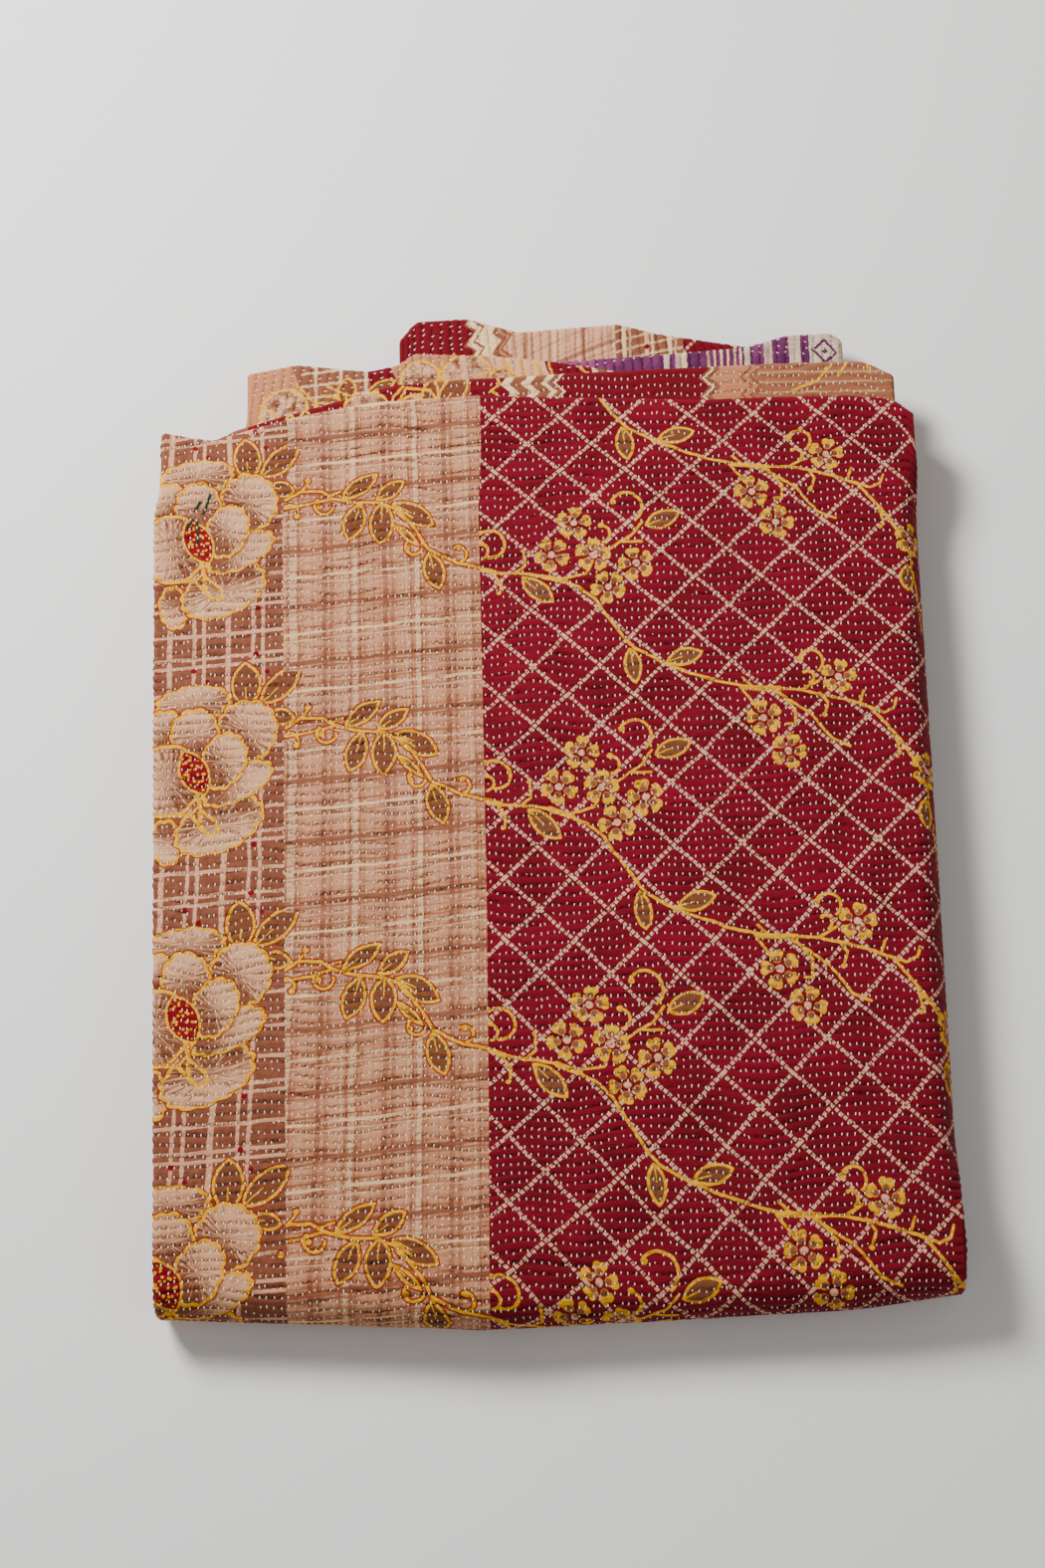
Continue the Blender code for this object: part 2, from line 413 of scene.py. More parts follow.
# The outer piece: bottom layer, wrap, top panel, its rear fold and the start of the layer under it
outer = {
    # the edges of the print's brown band and red field: y, x
    "brownEdge": [(-0.300, -0.171), (0.100, -0.1685), (0.310, -0.1685)],
    "redEdge": [
        (-0.302, -0.0451), (-0.160, -0.0422), (-0.032, -0.0403), (0.100, -0.0397), (0.305, -0.0394),
    ],
    "columns": (22, 31, 59, 8),      # brown band, beige plaid, red field, turned-down edge
    "hemColumns": (0.0, 0.008, 0.020),
    "bandColumns": (0.04, 1.0),
    "redSplit": 0.118,               # where the red field's two drawings meet
    "coarser": 8,                    # columns of the reverse side, one in so many
    # where the columns are placed by the print: at the wrap, along the panel and at the rear fold
    "printFront": -0.28,
    "printRear": 0.30,
    "printFold": 0.29,
    "pathRows": {"bottom": 90, "wrap": 64, "top": 420, "rearFold": 32, "under": 24},
    "underShare": 0.16,
    "bottomRows": 44,
    "hiddenRun": 0.045,
    "sewnFrom": 0.0035,              # from the left hem to the first row of stitches
    # the plain cloth past the bends at the wrap and the rear fold, and how far the ripples take to grow
    "plain": (0.006, 0.001),
    "grow": (0.012, 0.005),
    # how deep the painted shade in the ripples' troughs is: the pull up to mostPull, deeper along the
    # creases by creaseShade
    "mostPull": 1.2,                 # in the shading
    "creaseShade": 800.0,
    "hemRound": 0.0011,
    "hemPuff": 0.0008,               # how far the hems swell between the stitches
}


def columnPlaces(y):
    # shares across the cloth, with columns along the two edges of the print
    y = np.asarray(y, float)
    left, right = fold["frontEnds"][0]
    width = right - left
    brown = (np.interp(y, *zip(*outer["brownEdge"])) - left) / width
    red = (np.interp(y, *zip(*outer["redEdge"])) - left) / width
    turn = 1.0 - fold["turnWidth"] / width
    brownSteps, beigeSteps, redSteps, turnSteps = outer["columns"]
    first = np.concatenate([outer["hemColumns"], np.linspace(*outer["bandColumns"], brownSteps - 2)])
    parts = [brown[..., None] * first]
    for start, end, steps in ((brown, red, beigeSteps), (red, turn + 0 * red, redSteps)):
        share = np.arange(1, steps + 1) / steps
        parts.append(between(start[..., None], end[..., None], share))
    bend = np.sin(np.arange(1, turnSteps + 1) / turnSteps * math.pi / 2)
    parts.append(turn + (1.0 - turn) * bend + 0 * red[..., None])
    return np.concatenate(parts, axis=-1)


def outerPath():
    # dense rows of the middle of the cloth, and the places of its bends
    rows = outer["pathRows"]
    atFront, atRear = columnPlaces(outer["printFront"]), columnPlaces(outer["printFold"])
    bottom = layerRows(bottomLayer, atFront, np.linspace(1.0, 0.0, rows["bottom"]))
    shares = np.linspace(0.0, 1.0, rows["top"])
    atPanel = columnPlaces(between(outer["printFront"], outer["printRear"], shares))
    top = layerRows(0, atPanel, shares)
    under = layerRows(1, atRear, 1.0 - np.linspace(0.0, 1.0, rows["under"]) * outer["underShare"])
    wrap = turnRows(bottom[-1], top[0], -fold["wrapDepth"], rows["wrap"])
    rearFold = turnRows(top[-1], under[0], rearDepth(0, atRear), rows["rearFold"])
    path = np.concatenate([bottom, wrap, top, rearFold, under])
    marks = np.cumsum([len(bottom), len(wrap), len(top), len(rearFold)])
    return path, marks


def resample(path, normals, along, targets):
    # points and normals of every column at the wanted lengths along it
    columns = path.shape[1]
    found = np.zeros(targets.shape + (6,))
    for i in range(columns):
        for axis in range(3):
            found[:, i, axis] = np.interp(targets[:, i], along[:, i], path[:, i, axis])
            found[:, i, axis + 3] = np.interp(targets[:, i], along[:, i], normals[:, i, axis])
    turned = found[:, :, 3:]
    return found[:, :, :3], turned / np.linalg.norm(turned, axis=2, keepdims=True)


outerPoints, outerMarks = outerPath()
outerNormals = gridNormals(outerPoints)
outerAlong = runningLength(outerPoints, 0)
topStart = outerMarks[1]
outerAlong = outerAlong - outerAlong[topStart] + outerPoints[topStart, :, 1]
outerAcross = runningLength(outerPoints, 1)
middle = np.argmin(np.abs(outerPoints[topStart, :, 0]))
outerAcross = outerAcross - outerAcross[:, [middle]] + outerPoints[:, [middle], 0]
sewnFrom = outerAcross[topStart, 0] + outer["sewnFrom"]


def solveAlong(u, phase):
    # the length along the cloth at which the ripples reach a phase
    v = phase * ripples["pitch"] + 0 * u
    for i in range(ripples["solveSteps"]):
        v = v - (ripplePhase(u, v) - phase) * ripples["pitch"] * ripples["solveShare"]
    return v


def outerTargets():
    u = outerAcross[topStart]
    wrapStart = outerAlong[outerMarks[0]]
    foldEnd = outerAlong[outerMarks[3]]
    samples = ripples["samples"]
    first = math.floor(ripplePhase(u, wrapStart).min() * samples) - 2
    last = math.ceil(ripplePhase(u, foldEnd).max() * samples) + 2
    phases = np.arange(first, last + 1)[:, None] / samples
    rippleRows = solveAlong(u[None, :], phases)
    shares = np.linspace(0.0, 1.0, outer["bottomRows"] + 1)[:-1, None]
    before = between(outerAlong[0], rippleRows[0], shares)
    after = between(rippleRows[-1], foldEnd + outer["hiddenRun"], np.array([0.5, 1.0])[:, None])
    phaseRows = np.concatenate([np.zeros((len(before), 1)), phases, np.zeros((2, 1))]) + 0 * u
    return np.concatenate([before, rippleRows, after]), phaseRows


rowLengths, rowPhases = outerTargets()


# Creases on the top panel, given in millimetres: the points of each, its width and its depth.
# A depth below nothing is a ridge.
creases = [
    ([(-126, 279), (-108, 281), (-97, 277), (-84, 279), (-72, 282), (-56, 279), (-40, 276)], 1.7, 1.5),
    ([(-106, 285), (-92, 286), (-78, 284), (-64, 286)], 1.5, 1.3),
    ([(-150, 274), (-136, 276), (-122, 272), (-104, 269), (-88, 270)], 1.6, 1.2),
    ([(-92, 263), (-78, 262), (-66, 263)], 1.4, 1.1),
    ([(-110, 283), (-96, 282), (-80, 288), (-62, 283), (-44, 281)], 2.4, -0.8),
    ([(-152, -256), (-136, -262), (-118, -263), (-98, -268), (-76, -269), (-52, -272)], 1.7, 1.3),
    ([(-128, -270), (-108, -274), (-86, -276), (-66, -279)], 1.6, 1.2),
    ([(-142, -276), (-126, -280), (-104, -283), (-78, -285), (-48, -286)], 1.8, 1.3),
    ([(-172, -286), (-156, -288), (-140, -288)], 1.8, 1.2),
    ([(-116, -266), (-96, -271), (-72, -274)], 2.2, -0.7),
    ([(-44, -258), (-20, -266), (8, -268), (34, -274)], 1.8, 1.0),
    ([(60, -282), (92, -278), (124, -274), (150, -278)], 2.0, 1.2),
    ([(150, -262), (176, -258), (204, -260), (228, -254)], 2.0, 1.0),
    ([(-36, 268), (-8, 274), (20, 270), (52, 276)], 2.0, 0.9),
    ([(60, 282), (88, 280), (118, 286)], 1.8, 0.8),
    ([(-244, 282), (-226, 276), (-206, 277), (-190, 280)], 2.4, 0.9),
    ([(-168, 60), (-140, 66), (-112, 70), (-84, 76), (-52, 78)], 1.6, 0.8),
    ([(-150, -30), (-118, -24), (-86, -20), (-50, -16)], 1.6, 0.7),
    ([(-160, -132), (-128, -126), (-92, -120), (-58, -116)], 1.6, 0.8),
    ([(-158, 168), (-124, 172), (-90, 178), (-54, 176)], 1.6, 0.7),
    ([(24, 176), (52, 168), (84, 170), (110, 160)], 2.2, 0.6),
    ([(96, 40), (130, 46), (166, 38), (200, 44)], 2.2, 0.6),
    ([(4, -96), (36, -104), (66, -98), (98, -108)], 2.2, 0.6),
]
creaseLook = {"fade": 0.012, "steady": 0.8, "uneven": 0.2, "turning": 420.0}


def creaseDepth(u, v):
    # soft troughs and ridges along the creases, fading out at their ends
    depth = np.zeros(np.broadcast(u, v).shape)
    for points, width, deep in creases:
        line = np.array(points) / 1000.0
        run = np.concatenate([[0.0], np.cumsum(np.linalg.norm(np.diff(line, axis=0), axis=1))])
        near = np.full(depth.shape, np.inf)
        place = np.zeros(depth.shape)
        for (x, y), (x2, y2), start in zip(line, line[1:], run):
            length = math.hypot(x2 - x, y2 - y)
            share = np.clip(((u - x) * (x2 - x) + (v - y) * (y2 - y)) / length ** 2, 0.0, 1.0)
            away = np.hypot(u - x - share * (x2 - x), v - y - share * (y2 - y))
            place = np.where(away < near, start + share * length, place)
            near = np.minimum(near, away)
        taper = ease(np.minimum(place, run[-1] - place) / creaseLook["fade"])
        uneven = creaseLook["uneven"] * np.sin(place * creaseLook["turning"])
        taper = taper * (creaseLook["steady"] + uneven)
        depth = depth + deep / 1000.0 * taper * np.exp(-(near * 1000.0 / width) ** 2)
    return depth


def outerShown(v):
    # ripples on the face side, none where the cloth turns under
    (plainFront, plainRear), (growFront, growRear) = outer["plain"], outer["grow"]
    shown = ease((v - outerAlong[outerMarks[0]] - plainFront) / growFront)
    return shown * ease((outerAlong[outerMarks[3]] - plainRear - v) / growRear)


def outerRelief(u, v, phase):
    return (rippleHeight(u, v, phase) - creaseDepth(u, v)) * outerShown(v)


def twoFaces(points, normals, relief, coarser):
    # the face side with its relief and the coarser reverse side, their side edges drawn in
    half = fold["thickness"] / 2
    face = points + normals * (half + relief)[..., None]
    back = points[:, ::coarser] - normals[:, ::coarser] * half
    for side in (0, -1):
        drawnIn = normals[:, side] * half * 0.5
        face[:, side] -= drawnIn
        back[:, side] += drawnIn
    return face, back


def outward(points, side):
    # the way out past the first column or the last
    out = points[:, side] - points[:, 1 if side == 0 else -2]
    return out / np.linalg.norm(out, axis=1, keepdims=True)


def joinHem(cloth, faceRows, backRows, hem, side, slots):
    # the rolled hem between the face and the reverse along one side
    faceEdge = np.array([row[side] for row in faceRows])
    backEdge = np.array([row[side] for row in backRows])
    cloth.joinRows(faceEdge, hem, slots, flip=side != 0)
    cloth.joinRows(hem, backEdge, slots, flip=side != 0)


def closeEnds(cloth, faceRows, backRows, leftHem, rightHem, slot):
    # the cut ends of the cloth, as one hem face for every coarse column
    for end in (0, -1):
        steps = len(backRows[end]) - 1
        ratio = (len(faceRows[end]) - 1) // steps
        for i in range(steps):
            ring = faceRows[end][i * ratio:(i + 1) * ratio + 1].tolist()
            if i == steps - 1:
                ring.append(int(rightHem[end]))
            ring += backRows[end][i:i + 2].tolist()[::-1]
            if i == 0:
                ring.append(int(leftHem[end]))
            cloth.faces.append(ring[::-1] if end == 0 else ring)
            cloth.slots.append(slot)


# Short calls for wiring shader nodes. A value is either a number, a vector or a socket.
class Wiring:
    def __init__(self, tree):
        self.tree = tree

    def feed(self, socket, value):
        if isinstance(value, bpy.types.NodeSocket):
            self.tree.links.new(value, socket)
        elif value is not None:
            socket.default_value = value

    def node(self, kind, **settings):
        node = self.tree.nodes.new(kind)
        for name, value in settings.items():
            setattr(node, name, value)
        return node

    def math(self, operation, a, b=None, c=None, clamp=False):
        node = self.node("ShaderNodeMath", operation=operation, use_clamp=clamp)
        for socket, value in zip(node.inputs, (a, b, c)):
            self.feed(socket, value)
        return node.outputs[0]

    plus = partialmethod(math, "ADD")
    minus = partialmethod(math, "SUBTRACT")
    times = partialmethod(math, "MULTIPLY")
    timesPlus = partialmethod(math, "MULTIPLY_ADD")
    over = partialmethod(math, "DIVIDE")
    larger = partialmethod(math, "MAXIMUM")
    smaller = partialmethod(math, "MINIMUM")
    positive = partialmethod(math, "ABSOLUTE")
    above = partialmethod(math, "GREATER_THAN")
    below = partialmethod(math, "LESS_THAN")
    toAndFro = partialmethod(math, "PINGPONG")

    def vector(self, operation, a, b=None, scale=None):
        node = self.node("ShaderNodeVectorMath", operation=operation)
        self.feed(node.inputs[0], a)
        if scale is None:
            self.feed(node.inputs[1], b)
        else:
            self.feed(node.inputs["Scale"], scale)
        return node.outputs["Value" if operation in ("LENGTH", "DISTANCE", "DOT_PRODUCT") else "Vector"]

    def mix(self, share, a, b):
        node = self.node("ShaderNodeMix", data_type="RGBA")
        self.feed(node.inputs["Factor"], share)
        self.feed(node.inputs[6], a)
        self.feed(node.inputs[7], b)
        return node.outputs[2]

    def split(self, vector):
        node = self.node("ShaderNodeSeparateXYZ")
        self.feed(node.inputs[0], vector)
        return node.outputs["X"], node.outputs["Y"]

    def join(self, x, y):
        node = self.node("ShaderNodeCombineXYZ")
        self.feed(node.inputs["X"], x)
        self.feed(node.inputs["Y"], y)
        return node.outputs[0]

    def noise(self, vector, scale, detail=2.0, roughness=0.5):
        node = self.node("ShaderNodeTexNoise")
        self.feed(node.inputs["Vector"], vector)
        node.inputs["Scale"].default_value = scale
        node.inputs["Detail"].default_value = detail
        node.inputs["Roughness"].default_value = roughness
        return node.outputs["Fac"], node.outputs["Color"]

    def cover(self, distance, soft=0.25):
        # 1 inside a shape and 0 outside it, with a soft edge in millimetres
        return self.timesPlus(distance, -1.0 / soft, 0.5, clamp=True)

    def nearest(self, distances):
        found = distances[0]
        for distance in distances[1:]:
            found = self.smaller(found, distance)
        return found

    def blend(self, value, gain, lift, a, b):
        # two colours mixed by a value that is stretched and cut off at both ends
        return self.mix(self.timesPlus(value, gain, lift, clamp=True), a, b)

    def centred(self, noise, reach):
        # a noise's colour as a move of up to reach either way
        return self.vector("SCALE", self.vector("SUBTRACT", noise, (0.5, 0.5, 0.5)), scale=reach * 2)

    def fromHalf(self, value):
        # how far a value's fraction lies from a half
        return self.positive(self.minus(self.math("FRACT", value), 0.5))

    def group(self, tree, **values):
        node = self.node("ShaderNodeGroup")
        node.node_tree = tree
        for name, value in values.items():
            self.feed(node.inputs[name], value)
        return node.outputs


def newGroup(name, inputs, outputs):
    tree = bpy.data.node_groups.new(name, "ShaderNodeTree")
    for label, kind in inputs.items():
        tree.interface.new_socket(label, in_out="INPUT", socket_type="NodeSocket" + kind)
    for label, kind in outputs.items():
        tree.interface.new_socket(label, in_out="OUTPUT", socket_type="NodeSocket" + kind)
    wiring = Wiring(tree)
    return tree, wiring, wiring.node("NodeGroupInput").outputs, wiring.node("NodeGroupOutput").inputs


# The print repeats down the cloth. Its drawing is charted in millimetres: x from the
# middle of the cloth, y up from where the vine crosses on to the red.
chart = {
    "repeat": 159.0,
    "crossing": 188.0,
    "seam": -39.5,
    "stretchLeft": (0.0064603, -5.79e-7),
    "stretchRight": (0.00652, -1.21e-6),
    "drift": -2.33e-5,
    "spread": 4.0e-7,
    "lowest": 520.0,
    "toRight": (0.01, 0.4),    # how the right part's stretch takes over
    "wobble": 1.5,
    "wobbleScale": 42.0,
    "ragged": 0.5,
    "raggedScale": 420.0,
    "vineWidth": 0.95,
    "stalkWidth": 0.85,
    "thickWidth": 1.7,
    "ribShare": 0.42,
}
# A small flower, in millimetres: how far out a round lies, how far to the side, and its radius
smallFlower = {
    "shrink": 0.88,
    "lobe": (7.9, 1.5, 2.3),
    "root": (5.6, 0.0, 2.35),
    "dot": (5.2, 0.0, 1.8),
    "middle": 2.0,
    "turning": 0.21,
}
petalLook = {"rays": 9.0, "rayLength": 0.10, "fromHeart": -1.3, "drawn": (4.2, -1.60)}
diamonds = {
    "width": 43.0,
    "perRepeat": 4.0,
    "shift": (6.5, -8.25),
    "blocks": 8.5,
    "line": (29.0, -1.08),
    "block": (3.5, -1.2),
    "soft": 0.2,
}


def cellGroup():
    # from the cloth's map to a place in the print's repeat
    tree, wire, given, result = newGroup(
        "printCell", {"Map": "Vector", "Lowest": "Float"},
        {"Point": "Vector", "Free": "Vector", "Flat": "Vector"},
    )
    flat = wire.vector("SCALE", given["Map"], scale=1000.0)
    wobble = wire.noise(given["Map"], chart["wobbleScale"], 1.0)[1]
    ragged = wire.noise(given["Map"], chart["raggedScale"], 1.0)[1]
    moved, edges = wire.centred(wobble, chart["wobble"]), wire.centred(ragged, chart["ragged"])
    place = wire.vector("ADD", wire.vector("ADD", flat, moved), edges)
    x, y = wire.split(place)
    down = wire.smaller(wire.minus(chart["crossing"], y), chart["lowest"])
    square = wire.times(down, down)
    fromSeam = wire.minus(x, chart["seam"])
    fromSeam = wire.minus(fromSeam, wire.times(square, chart["drift"]))
    spread = wire.timesPlus(square, chart["spread"], 1.0)
    across = wire.plus(wire.over(fromSeam, spread), chart["seam"])
    toRight = wire.timesPlus(across, *chart["toRight"], clamp=True)
    slope, bend = (
        wire.timesPlus(toRight, right - left, left)
        for left, right in zip(chart["stretchLeft"], chart["stretchRight"])
    )
    phase = wire.plus(wire.times(down, slope), wire.times(square, bend))
    free = wire.times(phase, -chart["repeat"])
    highest = wire.plus(given["Lowest"], chart["repeat"])
    wire.feed(result["Point"], wire.join(across, wire.math("WRAP", free, highest, given["Lowest"])))
    wire.feed(result["Free"], wire.join(across, free))
    wire.feed(result["Flat"], place)
    return tree


def leafGroup():
    tree, wire, given, result = newGroup(
        "leafShape",
        {"Point": "Vector", "Heart A": "Vector", "Heart B": "Vector", "Radius": "Float",
         "Base": "Vector", "Rib Length": "Float"},
        {"Distance": "Float", "Rib": "Float"},
    )
    one = wire.vector("DISTANCE", given["Point"], given["Heart A"])
    other = wire.vector("DISTANCE", given["Point"], given["Heart B"])
    wire.feed(result["Distance"], wire.minus(wire.larger(one, other), given["Radius"]))
    rib = wire.positive(wire.minus(one, other))
    fromBase = wire.vector("DISTANCE", given["Point"], given["Base"])
    fromBase = wire.minus(fromBase, given["Rib Length"])
    wire.feed(result["Rib"], wire.larger(rib, fromBase))
    return tree


def strokeGroup():
    tree, wire, given, result = newGroup(
        "strokeShape",
        {"Point": "Vector", "Start": "Vector", "Run": "Vector", "Step": "Vector", "Half Width": "Float"},
        {"Distance": "Float"},
    )
    away = wire.vector("SUBTRACT", given["Point"], given["Start"])
    share = wire.times(wire.vector("DOT_PRODUCT", away, given["Step"]), 1.0, clamp=True)
    fromLine = wire.vector("DISTANCE", away, wire.vector("SCALE", given["Run"], scale=share))
    wire.feed(result["Distance"], wire.minus(fromLine, given["Half Width"]))
    return tree


def curlGroup():
    # part of a ring: what lies past the cut is left out
    tree, wire, given, result = newGroup(
        "curlShape",
        {"Point": "Vector", "Heart": "Vector", "Radius": "Float", "Half Width": "Float",
         "Cut": "Vector", "Cut Place": "Float"},
        {"Distance": "Float"},
    )
    away = wire.vector("SUBTRACT", given["Point"], given["Heart"])
    ring = wire.positive(wire.minus(wire.vector("LENGTH", away), given["Radius"]))
    ring = wire.minus(ring, given["Half Width"])
    cut = wire.minus(wire.vector("DOT_PRODUCT", away, given["Cut"]), given["Cut Place"])
    wire.feed(result["Distance"], wire.larger(ring, cut))
    return tree


def flowerGroup():
    # five heart-shaped petals round a pale middle, from the way to the nearest flower
    tree, wire, given, result = newGroup(
        "fiveFlower", {"Offset": "Vector", "Turn": "Float"},
        {"Petal": "Float", "Dot": "Float", "Middle": "Float"},
    )
    offset = wire.vector("SCALE", given["Offset"], scale=smallFlower["shrink"])
    x, y = wire.split(offset)
    angle = wire.plus(wire.math("ARCTAN2", y, x), given["Turn"])
    folded = wire.toAndFro(angle, math.pi / 5)
    away = wire.vector("LENGTH", offset)
    place = wire.join(
        wire.times(away, wire.math("COSINE", folded)),
        wire.times(away, wire.math("SINE", folded)),
    )
    lobe, root, dot = (
        wire.minus(wire.vector("DISTANCE", place, (out, side, 0.0)), radius)
        for out, side, radius in (smallFlower["lobe"], smallFlower["root"], smallFlower["dot"])
    )
    wire.feed(result["Petal"], wire.smaller(lobe, root))
    wire.feed(result["Dot"], dot)
    wire.feed(result["Middle"], wire.minus(away, smallFlower["middle"]))
    return tree


def petalGroup():
    # a broad petal: an ellipse with a scalloped rim
    tree, wire, given, result = newGroup(
        "broadPetal",
        {"Point": "Vector", "Heart": "Vector", "Sideways": "Vector", "Outward": "Vector",
         "Away": "Vector", "Size": "Float", "Scallops": "Float", "Depth": "Float"},
        {"Distance": "Float", "Shade": "Float"},
    )
    away = wire.vector("SUBTRACT", given["Point"], given["Heart"])
    side = wire.vector("DOT_PRODUCT", away, given["Sideways"])
    out = wire.vector("DOT_PRODUCT", away, given["Outward"])
    angle = wire.math("ARCTAN2", side, out)
    scallop = wire.positive(wire.math("SINE", wire.times(angle, given["Scallops"])))
    rim = wire.timesPlus(scallop, given["Depth"], given["Size"])
    reach = wire.vector("LENGTH", wire.join(side, out))
    wire.feed(result["Distance"], wire.minus(reach, rim))
    fromHeart = wire.over(wire.vector("DOT_PRODUCT", away, given["Away"]), given["Size"])
    aroundIt = wire.times(angle, petalLook["rays"])
    alongIt = wire.times(reach, petalLook["rayLength"])
    drawn = wire.noise(wire.join(aroundIt, alongIt), 1.0, 2.0)[0]
    drawn = wire.timesPlus(drawn, *petalLook["drawn"])
    shade = wire.timesPlus(fromHeart, petalLook["fromHeart"], drawn, clamp=True)
    wire.feed(result["Shade"], shade)
    return tree


def latticeGroup():
    # a diamond lattice of short blocks
    tree, wire, given, result = newGroup("blockLattice", {"Point": "Vector"}, {"Mask": "Float"})
    x, y = wire.split(given["Point"])
    width, rows, repeat = diamonds["width"], diamonds["perRepeat"], chart["repeat"]
    shiftX, shiftY = diamonds["shift"]
    alongX = wire.timesPlus(x, 1.0 / width, shiftX / width)
    alongY = wire.timesPlus(y, rows / repeat, shiftY * rows / repeat)
    masks = []
    for sign in (1.0, -1.0):
        line = wire.timesPlus(alongY, sign, alongX)
        other = wire.timesPlus(alongY, -sign, alongX)
        off = wire.fromHalf(wire.plus(line, 0.5))
        block = wire.fromHalf(wire.times(other, diamonds["blocks"]))
        offLine = wire.timesPlus(off, *diamonds["line"])
        offBlock = wire.timesPlus(block, *diamonds["block"])
        masks.append(wire.cover(wire.larger(offLine, offBlock), diamonds["soft"]))
    wire.feed(result["Mask"], wire.larger(*masks))
    return tree


def stripeGroup():
    # a line with soft edges every so far
    tree, wire, given, result = newGroup(
        "softStripe",
        {"Place": "Float", "Period": "Float", "Start": "Float", "Half Width": "Float", "Soft": "Float"},
        {"Mask": "Float"},
    )
    turn = wire.over(wire.minus(given["Place"], given["Start"]), given["Period"])
    off = wire.fromHalf(wire.plus(turn, 0.5))
    distance = wire.minus(wire.times(off, given["Period"]), given["Half Width"])
    share = wire.minus(1.0, wire.over(distance, given["Soft"]), clamp=True)
    wire.feed(result["Mask"], share)
    return tree


shapes = {
    "cell": cellGroup(), "leaf": leafGroup(), "stroke": strokeGroup(), "curl": curlGroup(),
    "flower": flowerGroup(), "petal": petalGroup(), "lattice": latticeGroup(), "stripe": stripeGroup(),
}


class Drawing(Wiring):
    # puts the print's charted shapes at a point

    def __init__(self, tree, point):
        super().__init__(tree)
        self.point = point

    def ball(self, x, y, radius):
        return self.minus(self.vector("DISTANCE", self.point, (x, y, 0.0)), radius)

    def stroke(self, start, end, halfWidth):
        run = Vector((end[0] - start[0], end[1] - start[1], 0.0))
        return self.group(
            shapes["stroke"], Point=self.point, Start=(*start, 0.0), Run=run, Step=run / run.length_squared,
            **{"Half Width": halfWidth},
        )["Distance"]

    def strokes(self, points, halfWidth):
        return self.nearest([self.stroke(a, b, halfWidth) for a, b in zip(points, points[1:])])

    def curl(self, x, y, radius, halfWidth, cutAngle, cutPlace):
        # the cut's direction in degrees, and how far out from the heart it lies
        cut = (math.cos(math.radians(cutAngle)), math.sin(math.radians(cutAngle)), 0.0)
        return self.group(
            shapes["curl"], Point=self.point, Heart=(x, y, 0.0), Radius=radius, Cut=cut,
            **{"Half Width": halfWidth, "Cut Place": cutPlace},
        )["Distance"]

    def leaf(self, base, tip, halfWidth):
        base, tip = Vector((*base, 0.0)), Vector((*tip, 0.0))
        run = tip - base
        radius = (run.length_squared / 4 + halfWidth ** 2) / (2 * halfWidth)
        side = Vector((-run.y, run.x, 0.0)).normalized() * (radius - halfWidth)
        middle = (base + tip) / 2
        hearts = {"Heart A": middle + side, "Heart B": middle - side}
        ribLength = {"Rib Length": run.length * chart["ribShare"]}
        found = self.group(
            shapes["leaf"], Point=self.point, Radius=radius, Base=base, **hearts, **ribLength,
        )
        return found["Distance"], found["Rib"]

    def leaves(self, rows):
        # the nearest leaf's rim, and how far the point is from a rib
        distance, rib = self.leaf(*rows[0])
        for row in rows[1:]:
            nextDistance, nextRib = self.leaf(*row)
            closer = self.below(nextDistance, distance)
            rib = self.plus(rib, self.times(closer, self.minus(nextRib, rib)))
            distance = self.smaller(distance, nextDistance)
        return distance, rib

    def flowers(self, hearts):
        # the way to the nearest of several flowers
        offset = self.vector("SUBTRACT", self.point, (*hearts[0], 0.0))
        nearest = self.vector("LENGTH", offset)
        for heart in hearts[1:]:
            other = self.vector("SUBTRACT", self.point, (*heart, 0.0))
            away = self.vector("LENGTH", other)
            closer = self.below(away, nearest)
            change = self.vector("SCALE", self.vector("SUBTRACT", other, offset), scale=closer)
            offset = self.vector("ADD", offset, change)
            nearest = self.smaller(nearest, away)
        x = self.split(self.vector("SUBTRACT", self.point, offset))[0]
        turn = self.times(x, smallFlower["turning"])
        return self.group(shapes["flower"], Offset=offset, Turn=turn)


def paint(red, green, blue):
    # a colour as the eye gives it, from 0 to 255, as the shader wants it
    linear = []
    for part in (red, green, blue):
        part = part / 255.0
        linear.append(part / 12.92 if part <= 0.04045 else ((part + 0.055) / 1.055) ** 2.4)
    return (*linear, 1.0)


dyes = {
    "red": paint(124, 7, 32),
    "stripRed": paint(108, 8, 24),
    "darkRed": paint(99, 5, 20),
    "beige": paint(186, 120, 82),
    "paleBeige": paint(216, 158, 122),
    "dullBeige": paint(157, 96, 64),
    "brown": paint(134, 78, 55),
    "darkBrown": paint(112, 60, 42),
    "leafBrown": paint(122, 70, 39),
    "cream": paint(240, 200, 150),
    "yellow": paint(238, 173, 1),
    "deepYellow": paint(212, 146, 4),
    "rim": paint(137, 36, 20),
    "block": paint(222, 170, 138),
    "petal": paint(216, 160, 120),
    "petalShade": paint(122, 68, 44),
    "heart": paint(124, 4, 20),
    "middle": paint(232, 164, 128),
    "mark": paint(20, 45, 32),
    "purple": paint(86, 34, 74),
    "pinkPurple": paint(142, 66, 108),
    "grey": paint(208, 189, 158),
}
